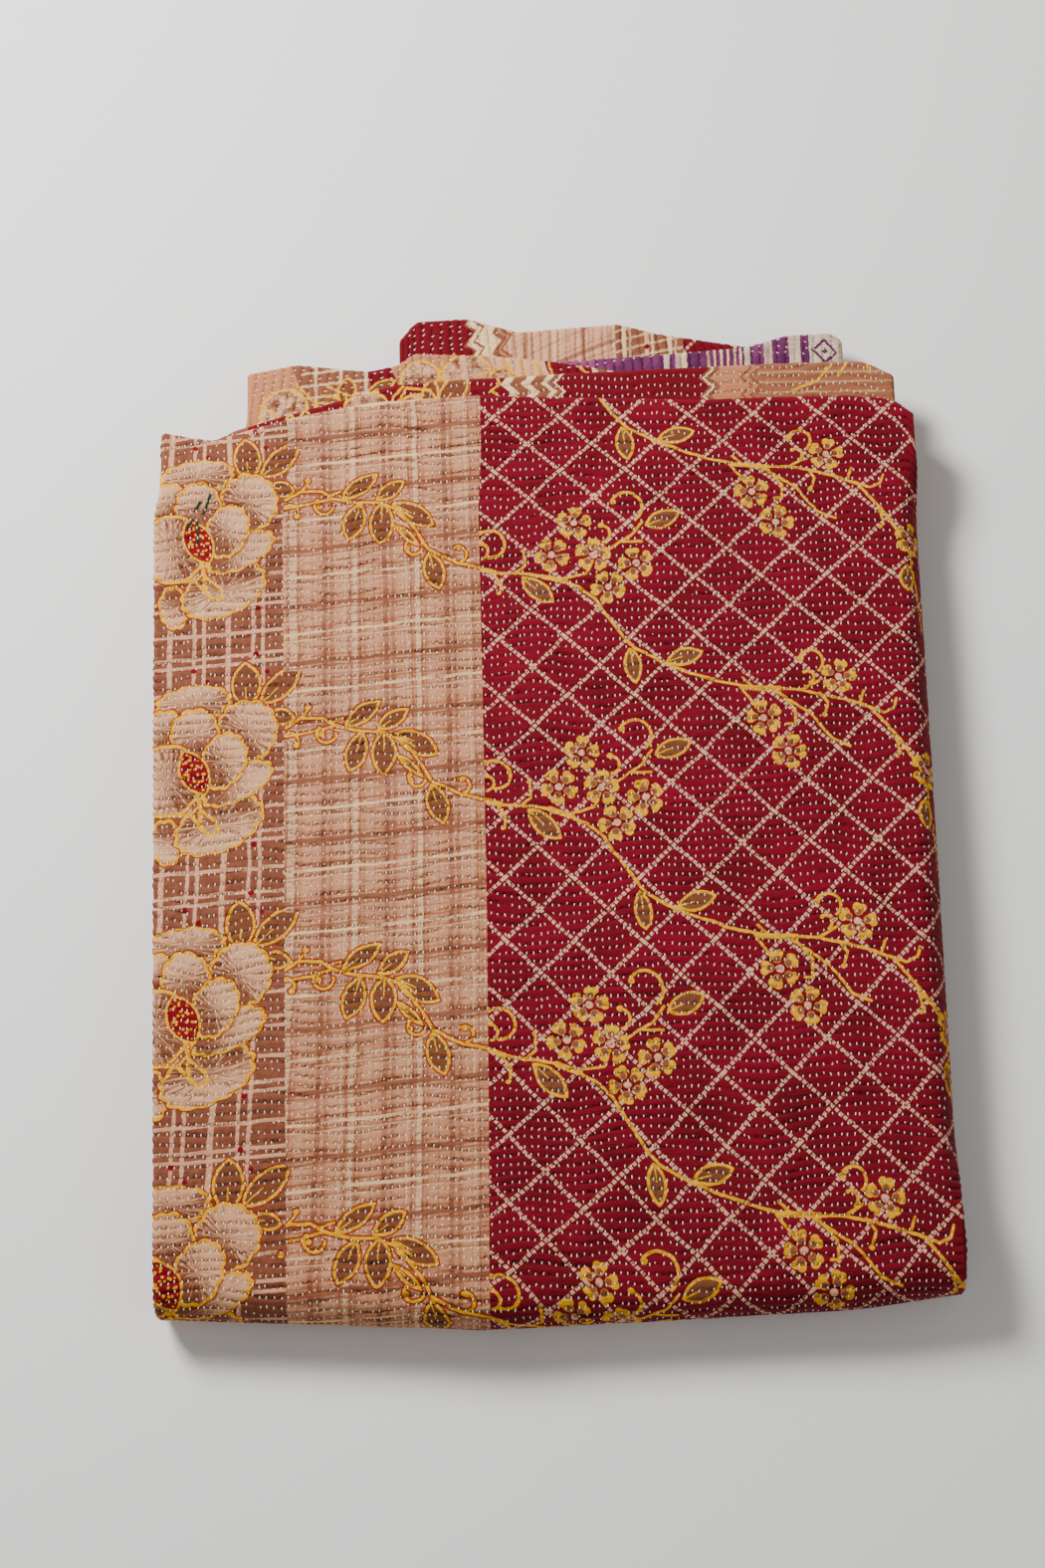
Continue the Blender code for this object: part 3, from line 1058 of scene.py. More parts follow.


# The look of thin washed cotton, with painted shade in the ripples' troughs, round the stitches and towards
# the front. A pair is a gain and a lift.
cotton = {
    "threads": (1500.0, 1500.0),
    "wrinkles": (150.0, 420.0),
    "wear": (30.0, 42.0),
    "patches": (110.0, 170.0),
    "sag": 0.62,               # how much lower the troughs hang between the rows
    "trough": (-6.6, 1.0),
    "patchy": (2.4, -0.40),
    "pit": (-0.5, 1.0),
    "threadTone": (0.26, 0.80),
    "wearTone": (0.34, 0.92),
    # painted shade towards the front, where the light falls off: where it starts, how fast it grows and how
    # dark it gets
    "paintedFrontShadeRamp": (-4.5, -0.35),  # towards the front
    "paintedFrontShade": -0.14,
    "troughShade": -0.46,
    "darkest": 0.35,
    "pitShade": -0.16,
    "warmth": (0.85, 1.15, 1.30),
    "roughness": (0.12, 0.80),
    "threadBump": 0.10,
    "troughBump": -0.45,
    "pitBump": -0.30,
    "bumpDistance": 0.0009,
}


def finishGroup():
    # weave and small wrinkles of thin washed cotton, drawn in between the stitches, with painted shade in
    # the ripples' troughs, round the stitches and towards the front
    tree, wire, given, result = newGroup(
        "cottonWithPaintedShade", {"Map": "Vector", "Colour": "Color", "Sewing": "Vector", "Crinkle": "Float"},
        {"Colour": "Color", "Roughness": "Float", "Normal": "Vector"},
    )

    def noise(kind, detail, roughness=0.5):
        place = wire.vector("MULTIPLY", given["Map"], (*cotton[kind], 1.0))
        return wire.noise(place, 1.0, detail, roughness)[0]

    def stretched(value, kind, clamp=False):
        return wire.timesPlus(value, *cotton[kind], clamp=clamp)

    threads, wrinkles = noise("threads", 1.0), noise("wrinkles", 3.0, 0.6)
    wear, patchy = noise("wear", 3.0, 0.6), noise("patches", 2.0)
    apart = wire.node("ShaderNodeSeparateXYZ")
    wire.feed(apart.inputs[0], given["Sewing"])
    row, phase, much = apart.outputs
    fromRow = wire.toAndFro(row, 0.5)
    # between the rows the trough hangs lower than at the stitches
    sagging = wire.timesPlus(wire.times(fromRow, fromRow), cotton["sag"], phase)
    trough = stretched(wire.toAndFro(sagging, 0.5), "trough", clamp=True)
    trough = wire.times(trough, much)
    trough = wire.times(trough, stretched(patchy, "patchy", clamp=True))
    toSide = wire.times(fromRow, ripples["rowStep"] * 1000.0)
    onward = wire.times(wire.toAndFro(phase, 0.5), ripples["pitch"] * 1000.0)
    fromStitch = wire.vector("LENGTH", wire.join(toSide, onward))
    pit = wire.times(stretched(fromStitch, "pit", clamp=True), much)
    shade = wire.times(stretched(threads, "threadTone"), stretched(wear, "wearTone"))
    # the cloth is painted a little darker towards the front, as painted shade where the light falls off
    paintedFrontShade = stretched(wire.split(given["Map"])[1], "paintedFrontShadeRamp", clamp=True)
    shade = wire.times(shade, wire.timesPlus(paintedFrontShade, cotton["paintedFrontShade"], 1.0))
    # painted shade in the ripples' troughs and along the creases, no darker than darkest, then painted
    # shade round the stitches
    inTrough = wire.timesPlus(trough, cotton["troughShade"], 1.0)
    shade = wire.times(shade, wire.larger(inTrough, cotton["darkest"]))
    shade = wire.times(shade, wire.timesPlus(pit, cotton["pitShade"], 1.0))
    # light thrown from fold to fold warms the troughs
    warm = wire.node("ShaderNodeCombineColor")
    for socket, power in zip(warm.inputs, cotton["warmth"]):
        wire.feed(socket, wire.math("POWER", shade, power))
    coloured = wire.node("ShaderNodeMix", data_type="RGBA", blend_type="MULTIPLY")
    coloured.inputs["Factor"].default_value = 1.0
    wire.feed(coloured.inputs[6], given["Colour"])
    wire.feed(coloured.inputs[7], warm.outputs[0])
    wire.feed(result["Colour"], coloured.outputs[2])
    wire.feed(result["Roughness"], stretched(threads, "roughness"))
    height = wire.times(wrinkles, given["Crinkle"])
    for value, kind in ((threads, "threadBump"), (trough, "troughBump"), (pit, "pitBump")):
        height = wire.timesPlus(value, cotton[kind], height)
    bump = wire.node("ShaderNodeBump")
    bump.inputs["Strength"].default_value = 1.0
    bump.inputs["Distance"].default_value = cotton["bumpDistance"]
    wire.feed(bump.inputs["Height"], height)
    wire.feed(result["Normal"], bump.outputs[0])
    return tree


shapes["finish"] = finishGroup()


def printedCloth(name, draw, crinkle=1.0):
    # a cotton material whose colour comes from draw(wiring, map)
    material = bpy.data.materials.new(name)
    material.use_nodes = True
    shader = material.node_tree.nodes["Principled BSDF"]
    shader.inputs["Sheen Weight"].default_value = 0.03
    shader.inputs["Sheen Roughness"].default_value = 0.5
    shader.inputs["Specular IOR Level"].default_value = 0.12
    wire = Wiring(material.node_tree)
    place = wire.node("ShaderNodeUVMap", uv_map="clothMap").outputs[0]
    sewingAndShade = wire.node("ShaderNodeAttribute", attribute_name="sewingAndShade").outputs["Vector"]
    drawn = draw(material.node_tree, place)
    finished = wire.group(shapes["finish"], Map=place, Colour=drawn, Sewing=sewingAndShade, Crinkle=crinkle)
    wire.feed(shader.inputs["Base Color"], finished["Colour"])
    wire.feed(shader.inputs["Roughness"], finished["Roughness"])
    wire.feed(shader.inputs["Normal"], finished["Normal"])
    return material


# Leaves, in millimetres from their outline
leafLook = {"rimInside": 0.5, "rimWidth": 0.85, "ribWidth": 0.75, "ribInside": 1.0, "outline": 0.95}


def vineLines(draw, given, stalkWidth):
    # the distances from everything that is drawn in yellow, leaves and flowers apart
    lines = [draw.strokes(given["vine"], chart["vineWidth"])]
    lines += [draw.strokes(run, stalkWidth) for run in given["stalks"]]
    lines += [draw.strokes(run, chart["thickWidth"]) for run in given.get("thick", [])]
    lines += [draw.curl(*curl) for curl in given["curls"]]
    return lines + [draw.ball(*ball) for ball in given["balls"]]


def vineColours(draw, ground, lines, leafRows, outlined=True):
    # leaves with brown middles, and everything drawn in yellow
    leaf, rib = draw.leaves(leafRows)
    inside = draw.plus(leaf, leafLook["rimInside"])
    rim = draw.minus(draw.positive(inside), leafLook["rimWidth"])
    ribLine = draw.minus(rib, leafLook["ribWidth"])
    ribLine = draw.larger(ribLine, draw.plus(leaf, leafLook["ribInside"]))
    yellowLine = draw.nearest([*lines, rim])
    colour = ground
    if outlined:
        outline = draw.minus(yellowLine, leafLook["outline"])
        colour = draw.mix(draw.cover(outline, 0.4), colour, dyes["rim"])
    patchy = draw.noise(draw.point, 0.35, 1.0)[0]
    leafTone = draw.blend(patchy, 4.0, -1.5, dyes["leafBrown"], dyes["darkBrown"])
    colour = draw.mix(draw.cover(leaf), colour, leafTone)
    yellow = draw.blend(patchy, 3.0, -1.1, dyes["yellow"], dyes["deepYellow"])
    colour = draw.mix(draw.cover(draw.smaller(yellowLine, ribLine)), colour, yellow)
    return colour, yellow


def stripes(draw, place, ground, rows):
    # soft lines across the ground: start, period, half width, softness, strength and dye
    colour = ground
    for start, period, halfWidth, soft, strength, dye in rows:
        values = {"Start": start, "Period": period, "Half Width": halfWidth, "Soft": soft}
        mask = draw.group(shapes["stripe"], Place=place, **values)["Mask"]
        colour = draw.mix(draw.times(mask, strength), colour, dyes[dye])
    return colour


redLeft = {
    "lowest": -95.0,
    "vine": [
        (-44, 0), (-28, -4.5), (-8, -6), (2, -8), (13, -12), (25, -17), (35, -25), (43, -38),
        (53, -52), (61, -61), (78, -71), (95, -78), (118, -86), (130, -89),
    ],
    "thick": [[(-40, -1), (-30, -4)], [(2, -8), (16, -12.5)]],
    "stalks": [
        [(14, -11), (30, -7), (34, 2)], [(44, 9), (61, 20), (68, 29)], [(55, 15), (67, 15)],
        [(-32, -4), (-26, -12), (-27, -19)], [(-17, -6), (-10, 0), (-11, 10)],
    ],
    "curls": [
        (57.5, 39.5, 10.8, 0.95, 225, 2.2), (41, 21, 5.8, 0.9, 190, 0.5),
        (-32.5, 15.5, 9.6, 0.95, 190, 3.5), (-38.5, 10, 5.0, 0.9, 180, 0.0),
    ],
    "balls": [
        (49, 44, 2.0), (41, 27, 1.9), (-39, 23.5, 1.8), (-38, 15.5, 1.7), (-28, -19, 1.5),
        (-11.5, 10.5, 1.3),
    ],
    "leaves": [
        ((-12, -8), (8, -27), 6.2), ((70, 26), (93, 35), 6.2), ((57, -60), (60, -84), 5.6),
        ((80, -70), (104, -64), 5.8),
    ],
    "flowers": [(23, 29), (8, 7), (35, 6), (63, -1), (44, -17)],
}

redRight = {
    "lowest": -59.0,
    "vine": [
        (106, 77), (118, 73), (128, 70.5), (138, 69), (166, 67), (194, 60), (211, 54), (225, 36),
        (238, 15), (246, -4),
    ],
    "thick": [[(128, 69.5), (152, 68)]],
    "stalks": [
        [(136, 69), (129, 76)], [(128, 68), (136, 57)], [(148, 67), (171, 51), (184, 34), (195, 29)],
        [(152, 65), (161, 54), (161, 44), (156, 44)], [(166, 67), (178, 73)],
        [(178, 65), (183, 58), (181, 52)],
        [(211, 54), (219, 51), (226, 54), (228, 60)], [(204, 57), (207, 65)], [(224, 37), (227, 23)],
        [(244, -4), (249, -26), (254, -50)],
    ],
    "curls": [(173.5, 86.5, 7.6, 0.95, 225, 1.5), (171, 76, 4.2, 0.9, 200, 0.5)],
    "balls": [(167, 89, 2.0), (169, 79.5, 1.3), (180, 50, 1.6), (225, 21.5, 1.4)],
    "leaves": [((241, -6), (240, -25), 5.4)],
    "flowers": [(191, 76), (141, 49), (156, 27), (245, 13)],
}


def redDrawing(given):
    def draw(tree, place):
        wire = Wiring(tree)
        cell = wire.group(shapes["cell"], Map=place, Lowest=given["lowest"])
        draw = Drawing(tree, cell["Point"])
        lattice = draw.group(shapes["lattice"], Point=cell["Free"])["Mask"]
        cloudy = draw.noise(cell["Free"], 0.03, 3.0)[0]
        ground = draw.blend(cloudy, 2.4, -0.7, dyes["red"], dyes["darkRed"])
        ground = draw.mix(draw.times(lattice, 0.92), ground, dyes["block"])
        lines = vineLines(draw, given, chart["stalkWidth"])
        colour, yellow = vineColours(draw, ground, lines, given["leaves"], outlined=False)
        flower = draw.flowers(given["flowers"])
        colour = draw.mix(draw.cover(flower["Petal"], 0.4), colour, yellow)
        colour = draw.mix(draw.cover(flower["Dot"], 0.5), colour, dyes["brown"])
        return draw.mix(draw.cover(flower["Middle"], 0.6), colour, dyes["middle"])
    return draw


beige = {
    "lowest": -70.0,
    "slant": 0.085,
    "slantFrom": 120,
    "stalkWidth": 0.8,
    "upright": [
        (-131.0, 20.15, 2.6, 3.0, 0.35, "paleBeige"), (-136.0, 6.7, 0.30, 0.4, 0.50, "brown"),
        (-121.8, 1000.0, 1.3, 0.5, 0.60, "cream"), (-80.6, 1000.0, 1.4, 0.5, 0.60, "cream"),
        (-162.6, 1000.0, 2.2, 0.9, 0.45, "cream"), (-125.2, 40.3, 0.5, 0.4, 0.85, "brown"),
        (-118.6, 40.3, 0.55, 0.4, 0.80, "brown"), (-141.8, 40.3, 1.3, 0.5, 1.0, "brown"),
        (-137.4, 40.3, 0.5, 0.4, 0.80, "brown"), (-128.5, 40.3, 0.6, 0.5, 0.35, "cream"),
    ],
    "level": [
        (10.0, 19.9, 2.8, 3.2, 0.30, "paleBeige"), (18.0, 39.75, 1.3, 0.7, 0.92, "brown"),
        (14.5, 39.75, 0.5, 0.4, 0.70, "brown"), (-1.0, 39.75, 0.75, 0.4, 0.75, "cream"),
        (3.0, 39.75, 0.4, 0.4, 0.70, "brown"), (-5.6, 39.75, 0.35, 0.4, 0.45, "cream"),
        (8.5, 13.25, 0.35, 0.4, 0.45, "brown"),
    ],
    "vine": [
        (-167, 51), (-157, 57), (-143, 57), (-135, 52), (-120, 48), (-105, 47), (-93, 42), (-80, 25),
        (-73, 13), (-54, 3), (-36, -1.5),
    ],
    "stalks": [
        [(-167, 45), (-150, 48), (-135, 52)], [(-93, 43), (-84, 36)], [(-152, 63), (-157, 57)],
        [(-130, 57), (-139, 54)],
    ],
    "curls": [
        (-141, 46.5, 6.2, 0.85, 70, 3.0), (-164, 42, 5.4, 0.85, 235, 1.0),
        (-82.5, 15.5, 5.6, 0.85, 60, 1.5),
        (-53.5, 9, 5.2, 0.85, 200, 1.0),
    ],
    "balls": [(-152, 64.5, 1.9), (-144, 46, 1.9), (-160, 39, 1.9), (-87, 14, 1.9), (-53, 13.5, 1.9)],
    "leaves": [
        ((-129, 51), (-106, 68), 5.6), ((-107, 49), (-88, 62), 5.4), ((-96, 46), (-69, 31), 7.0),
        ((-117, 47), (-126, 21), 6.8), ((-103, 47), (-104, 18), 8.0), ((-95, 31), (-79, 16), 2.6),
        ((-73, 11), (-66, -15), 6.6), ((-184, 68), (-157, 92), 7.8), ((-178, 61), (-161, 57), 5.6),
    ],
}


def beigeDrawing(tree, place):
    wire = Wiring(tree)
    cell = wire.group(shapes["cell"], Map=place, Lowest=beige["lowest"])
    draw = Drawing(tree, cell["Point"])
    x, y = draw.split(cell["Free"])
    shifted = draw.minus(y, beige["slantFrom"] * beige["slant"])
    slanted = draw.timesPlus(x, -beige["slant"], shifted)
    streaks = draw.noise(draw.vector("MULTIPLY", cell["Free"], (0.55, 0.02, 1.0)), 1.0, 3.0, 0.7)[0]
    level = draw.noise(draw.vector("MULTIPLY", cell["Free"], (0.02, 0.55, 1.0)), 1.0, 3.0, 0.7)[0]
    ground = draw.blend(streaks, 3.0, -0.6, dyes["dullBeige"], dyes["beige"])
    ground = draw.blend(level, 2.6, -1.3, ground, dyes["paleBeige"])
    ground = stripes(draw, x, ground, beige["upright"])
    ground = stripes(draw, slanted, ground, beige["level"])
    return vineColours(draw, ground, vineLines(draw, beige, beige["stalkWidth"]), beige["leaves"])[0]


brown = {
    "lowest": -60.0,
    "slant": 0.06,
    "slantFrom": 200,
    "upright": [
        (-205.0, 1000.0, 1.5, 0.5, 0.92, "paleBeige"), (-244.0, 1000.0, 1.4, 0.5, 0.92, "paleBeige"),
        (-189.0, 39.0, 0.9, 0.4, 0.92, "paleBeige"), (-182.5, 39.0, 1.0, 0.4, 0.92, "paleBeige"),
    ],
    "level": [
        (-2.0, 39.75, 1.0, 0.4, 0.92, "paleBeige"), (-23.0, 39.75, 0.9, 0.4, 0.92, "paleBeige"),
        (-17.5, 39.75, 0.9, 0.4, 0.92, "paleBeige"),
    ],
    "dots": [
        (-219, 84, 1.7), (-180, 90, 1.7), (-186, -25, 1.9), (-187, -57, 1.9), (-228, 92, 1.8),
        (-233, -22, 2.0),
    ],
    # petals from the back to the front: x, y, half width, half height, turn, scallops, depth
    "petals": [
        (-227, 70, 24, 11, 4, 6.0, 1.6), (-192, 50, 19, 20, -6, 6.0, 1.6), (-246, 52, 13, 13, 0, 4.5, 1.4),
        (-226, 48, 15, 17, 6, 5.0, 1.5), (-243, 18, 22, 24, 0, 4.0, 0.9), (-242, -23, 10, 15, 8, 4.0, 1.3),
        (-209, -12, 29, 17, 24, 7.0, 1.6), (-198, 15, 24, 11, 27, 6.0, 1.5),
        (-207, 30, 14, 19, -20, 5.5, 1.4),
    ],
    "heart": ((-233, 37), (-219, 9), 8.5),
    "berry": (-160, 39, 1.9),
    "petalOutline": 0.8,
    "petalRim": 2.1,
    "seedScale": 0.30,
    "seedSize": 0.26,
    "strokeWidth": 1.2,
    "strokes": [
        [(-224, 9), (-221, -2), (-211, -10), (-209, -16), (-214, -19), (-220, -14), (-222, -4)],
        [(-246, -5), (-228, -5), (-219, -15)],
    ],
    "leaves": [((-192, 66), (-194, 97), 9.3), ((-184, 68), (-157, 92), 7.8), ((-178, 61), (-161, 57), 5.6)],
}

marks = {
    # small dark marks, in millimetres on the cloth
    "runs": [
        [(-218, 244), (-223, 230)], [(-225, 238), (-228, 232)], [(-230, 226), (-233, 220)],
        [(-227, 224), (-226, 210)],
    ],
    "halfWidth": 1.1,
}


def brownDrawing(tree, place):
    wire = Wiring(tree)
    cell = wire.group(shapes["cell"], Map=place, Lowest=brown["lowest"])
    draw = Drawing(tree, cell["Point"])
    x, y = draw.split(cell["Free"])
    shifted = draw.minus(y, brown["slantFrom"] * brown["slant"])
    slanted = draw.timesPlus(x, -brown["slant"], shifted)
    patchy = draw.noise(draw.vector("MULTIPLY", cell["Free"], (0.3, 0.1, 1.0)), 1.0, 3.0, 0.6)[0]
    colour = draw.blend(patchy, 2.4, -0.8, dyes["brown"], dyes["darkBrown"])
    colour = stripes(draw, x, colour, brown["upright"])
    colour = stripes(draw, slanted, colour, brown["level"])
    dots = draw.nearest([draw.ball(*dot) for dot in brown["dots"]])
    colour = draw.mix(draw.cover(dots), colour, dyes["heart"])
    colour, yellow = vineColours(draw, colour, [draw.ball(*brown["berry"])], brown["leaves"])
    heartBase, heartTip, heartWidth = brown["heart"]
    for x, y, halfWidth, halfHeight, turn, scallops, depth in brown["petals"]:
        angle, size = math.radians(turn), (halfWidth + halfHeight) / 2
        petal = draw.group(
            shapes["petal"], Point=draw.point, Heart=(x, y, 0.0), Size=size, Scallops=scallops, Depth=depth,
            Sideways=Vector((math.cos(angle), math.sin(angle), 0.0)) * (size / halfWidth),
            Outward=Vector((-math.sin(angle), math.cos(angle), 0.0)) * (size / halfHeight),
            Away=Vector((x - heartTip[0], y - heartTip[1] - 12.0, 0.0)).normalized(),
        )
        tone = draw.mix(petal["Shade"], dyes["petal"], dyes["petalShade"])
        outline = draw.minus(petal["Distance"], brown["petalOutline"])
        colour = draw.mix(draw.cover(outline, 0.4), colour, dyes["rim"])
        colour = draw.mix(draw.cover(petal["Distance"], 0.3), colour, yellow)
        inside = draw.plus(petal["Distance"], brown["petalRim"])
        colour = draw.mix(draw.cover(inside, 0.4), colour, tone)
    heart = draw.leaf(heartBase, heartTip, heartWidth)[0]
    seeds = draw.node("ShaderNodeTexVoronoi", voronoi_dimensions="2D")
    draw.feed(seeds.inputs["Vector"], draw.point)
    seeds.inputs["Scale"].default_value = brown["seedScale"]
    colour = draw.mix(draw.cover(draw.minus(heart, 1.4)), colour, yellow)
    colour = draw.mix(draw.cover(heart, 0.4), colour, dyes["heart"])
    seed = draw.minus(seeds.outputs["Distance"], brown["seedSize"])
    seed = draw.larger(seed, draw.plus(heart, 1.2))
    colour = draw.mix(draw.cover(seed, 0.1), colour, yellow)
    strokes = draw.nearest([draw.strokes(run, brown["strokeWidth"]) for run in brown["strokes"]])
    colour = draw.mix(draw.cover(strokes), colour, yellow)
    onCloth = Drawing(tree, cell["Flat"])
    stains = onCloth.nearest([onCloth.strokes(run, marks["halfWidth"]) for run in marks["runs"]])
    return draw.mix(draw.cover(stains, 0.8), colour, dyes["mark"])


def reverseDrawing(tree, place):
    # the other side of the cloth and its hidden parts: the print seen through, in plain bands
    draw = Drawing(tree, place)
    faded = draw.noise(draw.vector("MULTIPLY", place, (9.0, 3.0, 1.0)), 1.0, 2.0)[0]
    return draw.blend(faded, 6.0, -2.5, dyes["dullBeige"], dyes["beige"])


materials = {
    "brownBand": printedCloth("brownBand", brownDrawing),
    "beigePlaid": printedCloth("beigePlaid", beigeDrawing, 1.3),
    "redField": printedCloth("redField", redDrawing(redLeft)),
    "redEdge": printedCloth("redEdge", redDrawing(redRight)),
    "reverse": printedCloth("reverse", reverseDrawing),
}
print("print drawn", {name: len(item.node_tree.nodes) for name, item in materials.items()})


# Where the centre of the solid went when it was stood over its origin
centreShift = (0.0, float(cadBox[0][1]) - (-0.304))
outerOrder = ("brownBand", "beigePlaid", "redField", "reverse", "redEdge")
reverseSlot, edgeSlot = outerOrder.index("reverse"), outerOrder.index("redEdge")


def makeOuter():
    v, coarse = rowLengths, slice(None, None, outer["coarser"])
    points, normals = resample(outerPoints, outerNormals, outerAlong, v)
    u = np.stack(
        [np.interp(v[:, i], outerAlong[:, i], outerAcross[:, i]) for i in range(v.shape[1])], axis=1,
    )
    uv = np.stack([u, v], axis=2)
    # for the painted shade: the stitch row, the place between the stitches and how deep the shade is
    # painted, from how far the cloth is drawn in and from the creases
    shade = np.minimum(pull(u, v), outer["mostPull"]) + outer["creaseShade"] * creaseDepth(u, v)
    grid = np.stack([(u - sewnFrom) / ripples["rowStep"], rowPhases, outerShown(v) * shade], axis=2)
    loose = grid * (1.0, 1.0, 0.0)
    face, back = twoFaces(points, normals, outerRelief(u, v, rowPhases), outer["coarser"])
    cloth = ClothMesh()
    faceRows = [cloth.addRow(*rows) for rows in zip(face, uv, grid)]
    backRows = [cloth.addRow(*rows) for rows in zip(back, uv[:, coarse], loose[:, coarse])]
    hems = []
    for side in (0, -1):
        puffed = outer["hemPuff"] * np.abs(np.sin(math.pi * grid[:, side, 1:2])) * grid[:, side, 2:3]
        rolled = points[:, side] + outward(points, side) * (outer["hemRound"] + puffed)
        hems.append(cloth.addRow(rolled, uv[:, side], loose[:, side]))
    slots = np.repeat([0, 1, 2, 2], outer["columns"])
    slots[outerAcross[topStart, 1:] > outer["redSplit"]] = edgeSlot
    for lower, upper in zip(faceRows, faceRows[1:]):
        cloth.joinRows(lower, upper, slots)
    for lower, upper in zip(backRows, backRows[1:]):
        cloth.joinRows(lower, upper, reverseSlot, flip=True)
    for hem, side, slot in zip(hems, (0, -1), (0, edgeSlot)):
        joinHem(cloth, faceRows, backRows, hem, side, slot)
    closeEnds(cloth, faceRows, backRows, *hems, reverseSlot)
    return cloth.build("quiltOuter", [materials[name] for name in outerOrder])


quiltOuter = makeOuter()
print("outer cloth made", len(quiltOuter.data.vertices), len(quiltOuter.data.polygons))


# The inner piece: the layers between, with their rear folds shown as strips
inner = {
    "columns": 384,
    "coarser": 24,
    "rowRun": 0.022,       # rows this far apart where the cloth is hidden
    "shownRun": 0.046,
    "shownRows": {2: 42, 4: 13, 6: 13, 8: 13},
    "foldRows": 12,
    "foldCoarse": 6,
    "shownMargin": 1.15,
    "underFine": 0.006,    # how far past a rear fold the rows stay fine, and where coarse ones start
    "underCoarse": 0.012,
    "sewn": (2, 4, 6, 8),
    "skip": {2: 4, 4: 2, 6: 2, 8: 2},      # rows at a strip's start that carry no stitches
    "sewnFrom": {2: 0.004, 4: 0.003, 6: 0.003, 8: 0.003},
    "edgeFade": 0.008,
    "rippleHeight": 0.8,
    "apart": 0.37,         # where each strip reads the ripples
    "gap": 0.0003,
    # the print that each hidden layer shows along its hems
    "hemSlots": {1: 5, 2: 5, 3: 6, 4: 2, 5: 5, 6: 6, 7: 0, 8: 4, 9: 5, 10: 6},
}


def innerPath():
    # rows of the path with their length along it, their strip and whether they are shown
    across = np.linspace(0.0, 1.0, inner["columns"] + 1)
    rows, strips, dense = [], [], []

    def add(found, strip, shown):
        rows.append(found)
        strips.extend([strip] * len(found))
        dense.extend([shown] * len(found))

    start = outerEndY(across)
    for layer in range(1, bottomLayer):
        front, rear = frontY(layer, across), rearY(layer, across)
        run = float(np.mean(rear - front))
        shown = inner["shownRun"] / run if layer % 2 == 0 and layer < bottomLayer - 1 else 0.0
        hiddenRows = int(run / inner["rowRun"])
        if layer % 2:
            end = (start - front) / (rear - front) if layer == 1 else 1.0
            if layer > 1:
                add(layerRows(layer, across, [1.0, 1.0 - inner["underFine"] / run]), layer, True)
                end = 1.0 - inner["underCoarse"] / run
            shares = np.linspace(0.0, 1.0, hiddenRows)[:, None]
            shares = end * (1.0 - shares) + 0 * across
            add(layerRows(layer, across, shares), layer, False)
            nextLayer = layerRows(layer + 1, across, [0.0])
            found = turnRows(rows[-1][-1], nextLayer[0], -fold["layerPitch"] / 2, inner["foldCoarse"])
            add(found, layer, False)
        else:
            shares = np.linspace(0.0, 1.0 - shown * inner["shownMargin"], hiddenRows)
            add(layerRows(layer, across, shares), layer, False)
            if shown:
                shares = 1.0 - shown * np.linspace(1.0, 0.0, inner["shownRows"][layer])
                add(layerRows(layer, across, shares), layer, True)
                nextLayer = layerRows(layer + 1, across, [1.0])
                found = turnRows(rows[-1][-1], nextLayer[0], rearDepth(layer, across), inner["foldRows"])
                add(found, layer, True)
    return np.concatenate(rows), np.array(strips), np.array(dense)


def outerEndY(across):
    # where the outer piece stops on the second layer, a hair further forward
    lastRow = outerEnd[0]
    x = lastRow[:, 0]
    left, right = endsAt(1, lastRow[:, 1], rearY(1, columnPlaces(outer["printFold"])))
    places = (x - left) / (right - left)
    return np.interp(across, places, lastRow[:, 1]) - inner["gap"]


outerEnd = resample(outerPoints, outerNormals, outerAlong, rowLengths[-1:])[0]


def sewnFromOf(strip):
    # the first row of stitches on a strip: across it on the first one, along the rest
    points, normals, strips, dense, u, v = innerRows
    rows, skip = (strips == strip) & dense, inner["skip"][strip]
    first = u[rows][skip, 0] if strip == 2 else np.min(v[rows][skip:, 0])
    return first + inner["sewnFrom"][strip]


def innerGrid(u, v, strips, dense):
    grid = np.zeros((*u.shape, 3))
    for strip in inner["sewn"]:
        rows = (strips == strip) & dense
        off, start = inner["apart"] * strip, sewnFromOf(strip)
        if strip == 2:
            row, phase = u[rows] - start, ripplePhase(u[rows], v[rows] + off)
        else:
            row, phase = v[rows] - start, ripplePhase(v[rows] + off, u[rows])
        # the third value sets how deep the painted shade in the troughs is on the strips
        height = 0 * phase + inner["rippleHeight"]
        grid[rows] = np.stack([row / ripples["rowStep"], phase, height], axis=2)
    return grid


def innerRelief(u, v, dense, strip):
    # from the second strip on the stitches run the other way, and so do the ripples
    off = inner["apart"] * strip
    same = rippleHeight(u, v + off, ripplePhase(u, v + off))
    turned = rippleHeight(v + off, u, ripplePhase(v + off, u))
    shown = dense & (strip % 2 == 0)
    return np.where(shown, inner["rippleHeight"] * np.where(strip == 2, same, turned), 0.0)


def innerMap():
    # the inner piece's rows with their normals and their map
    points, strips, dense = innerPath()
    normals = gridNormals(points)
    along = runningLength(points, 0)
    across = runningLength(points, 1)
    centre = inner["columns"] // 2
    u = across - across[:, [centre]] + points[:, [centre], 0]
    v = along.copy()
    for layer in range(1, bottomLayer):
        rows = strips == layer
        if layer == 1 or layer % 2 == 0:
            first = np.argmax(rows)
            offset = points[first, :, 1] - along[first]
        v[rows] = along[rows] + offset
    return points, normals, strips, dense, u, v


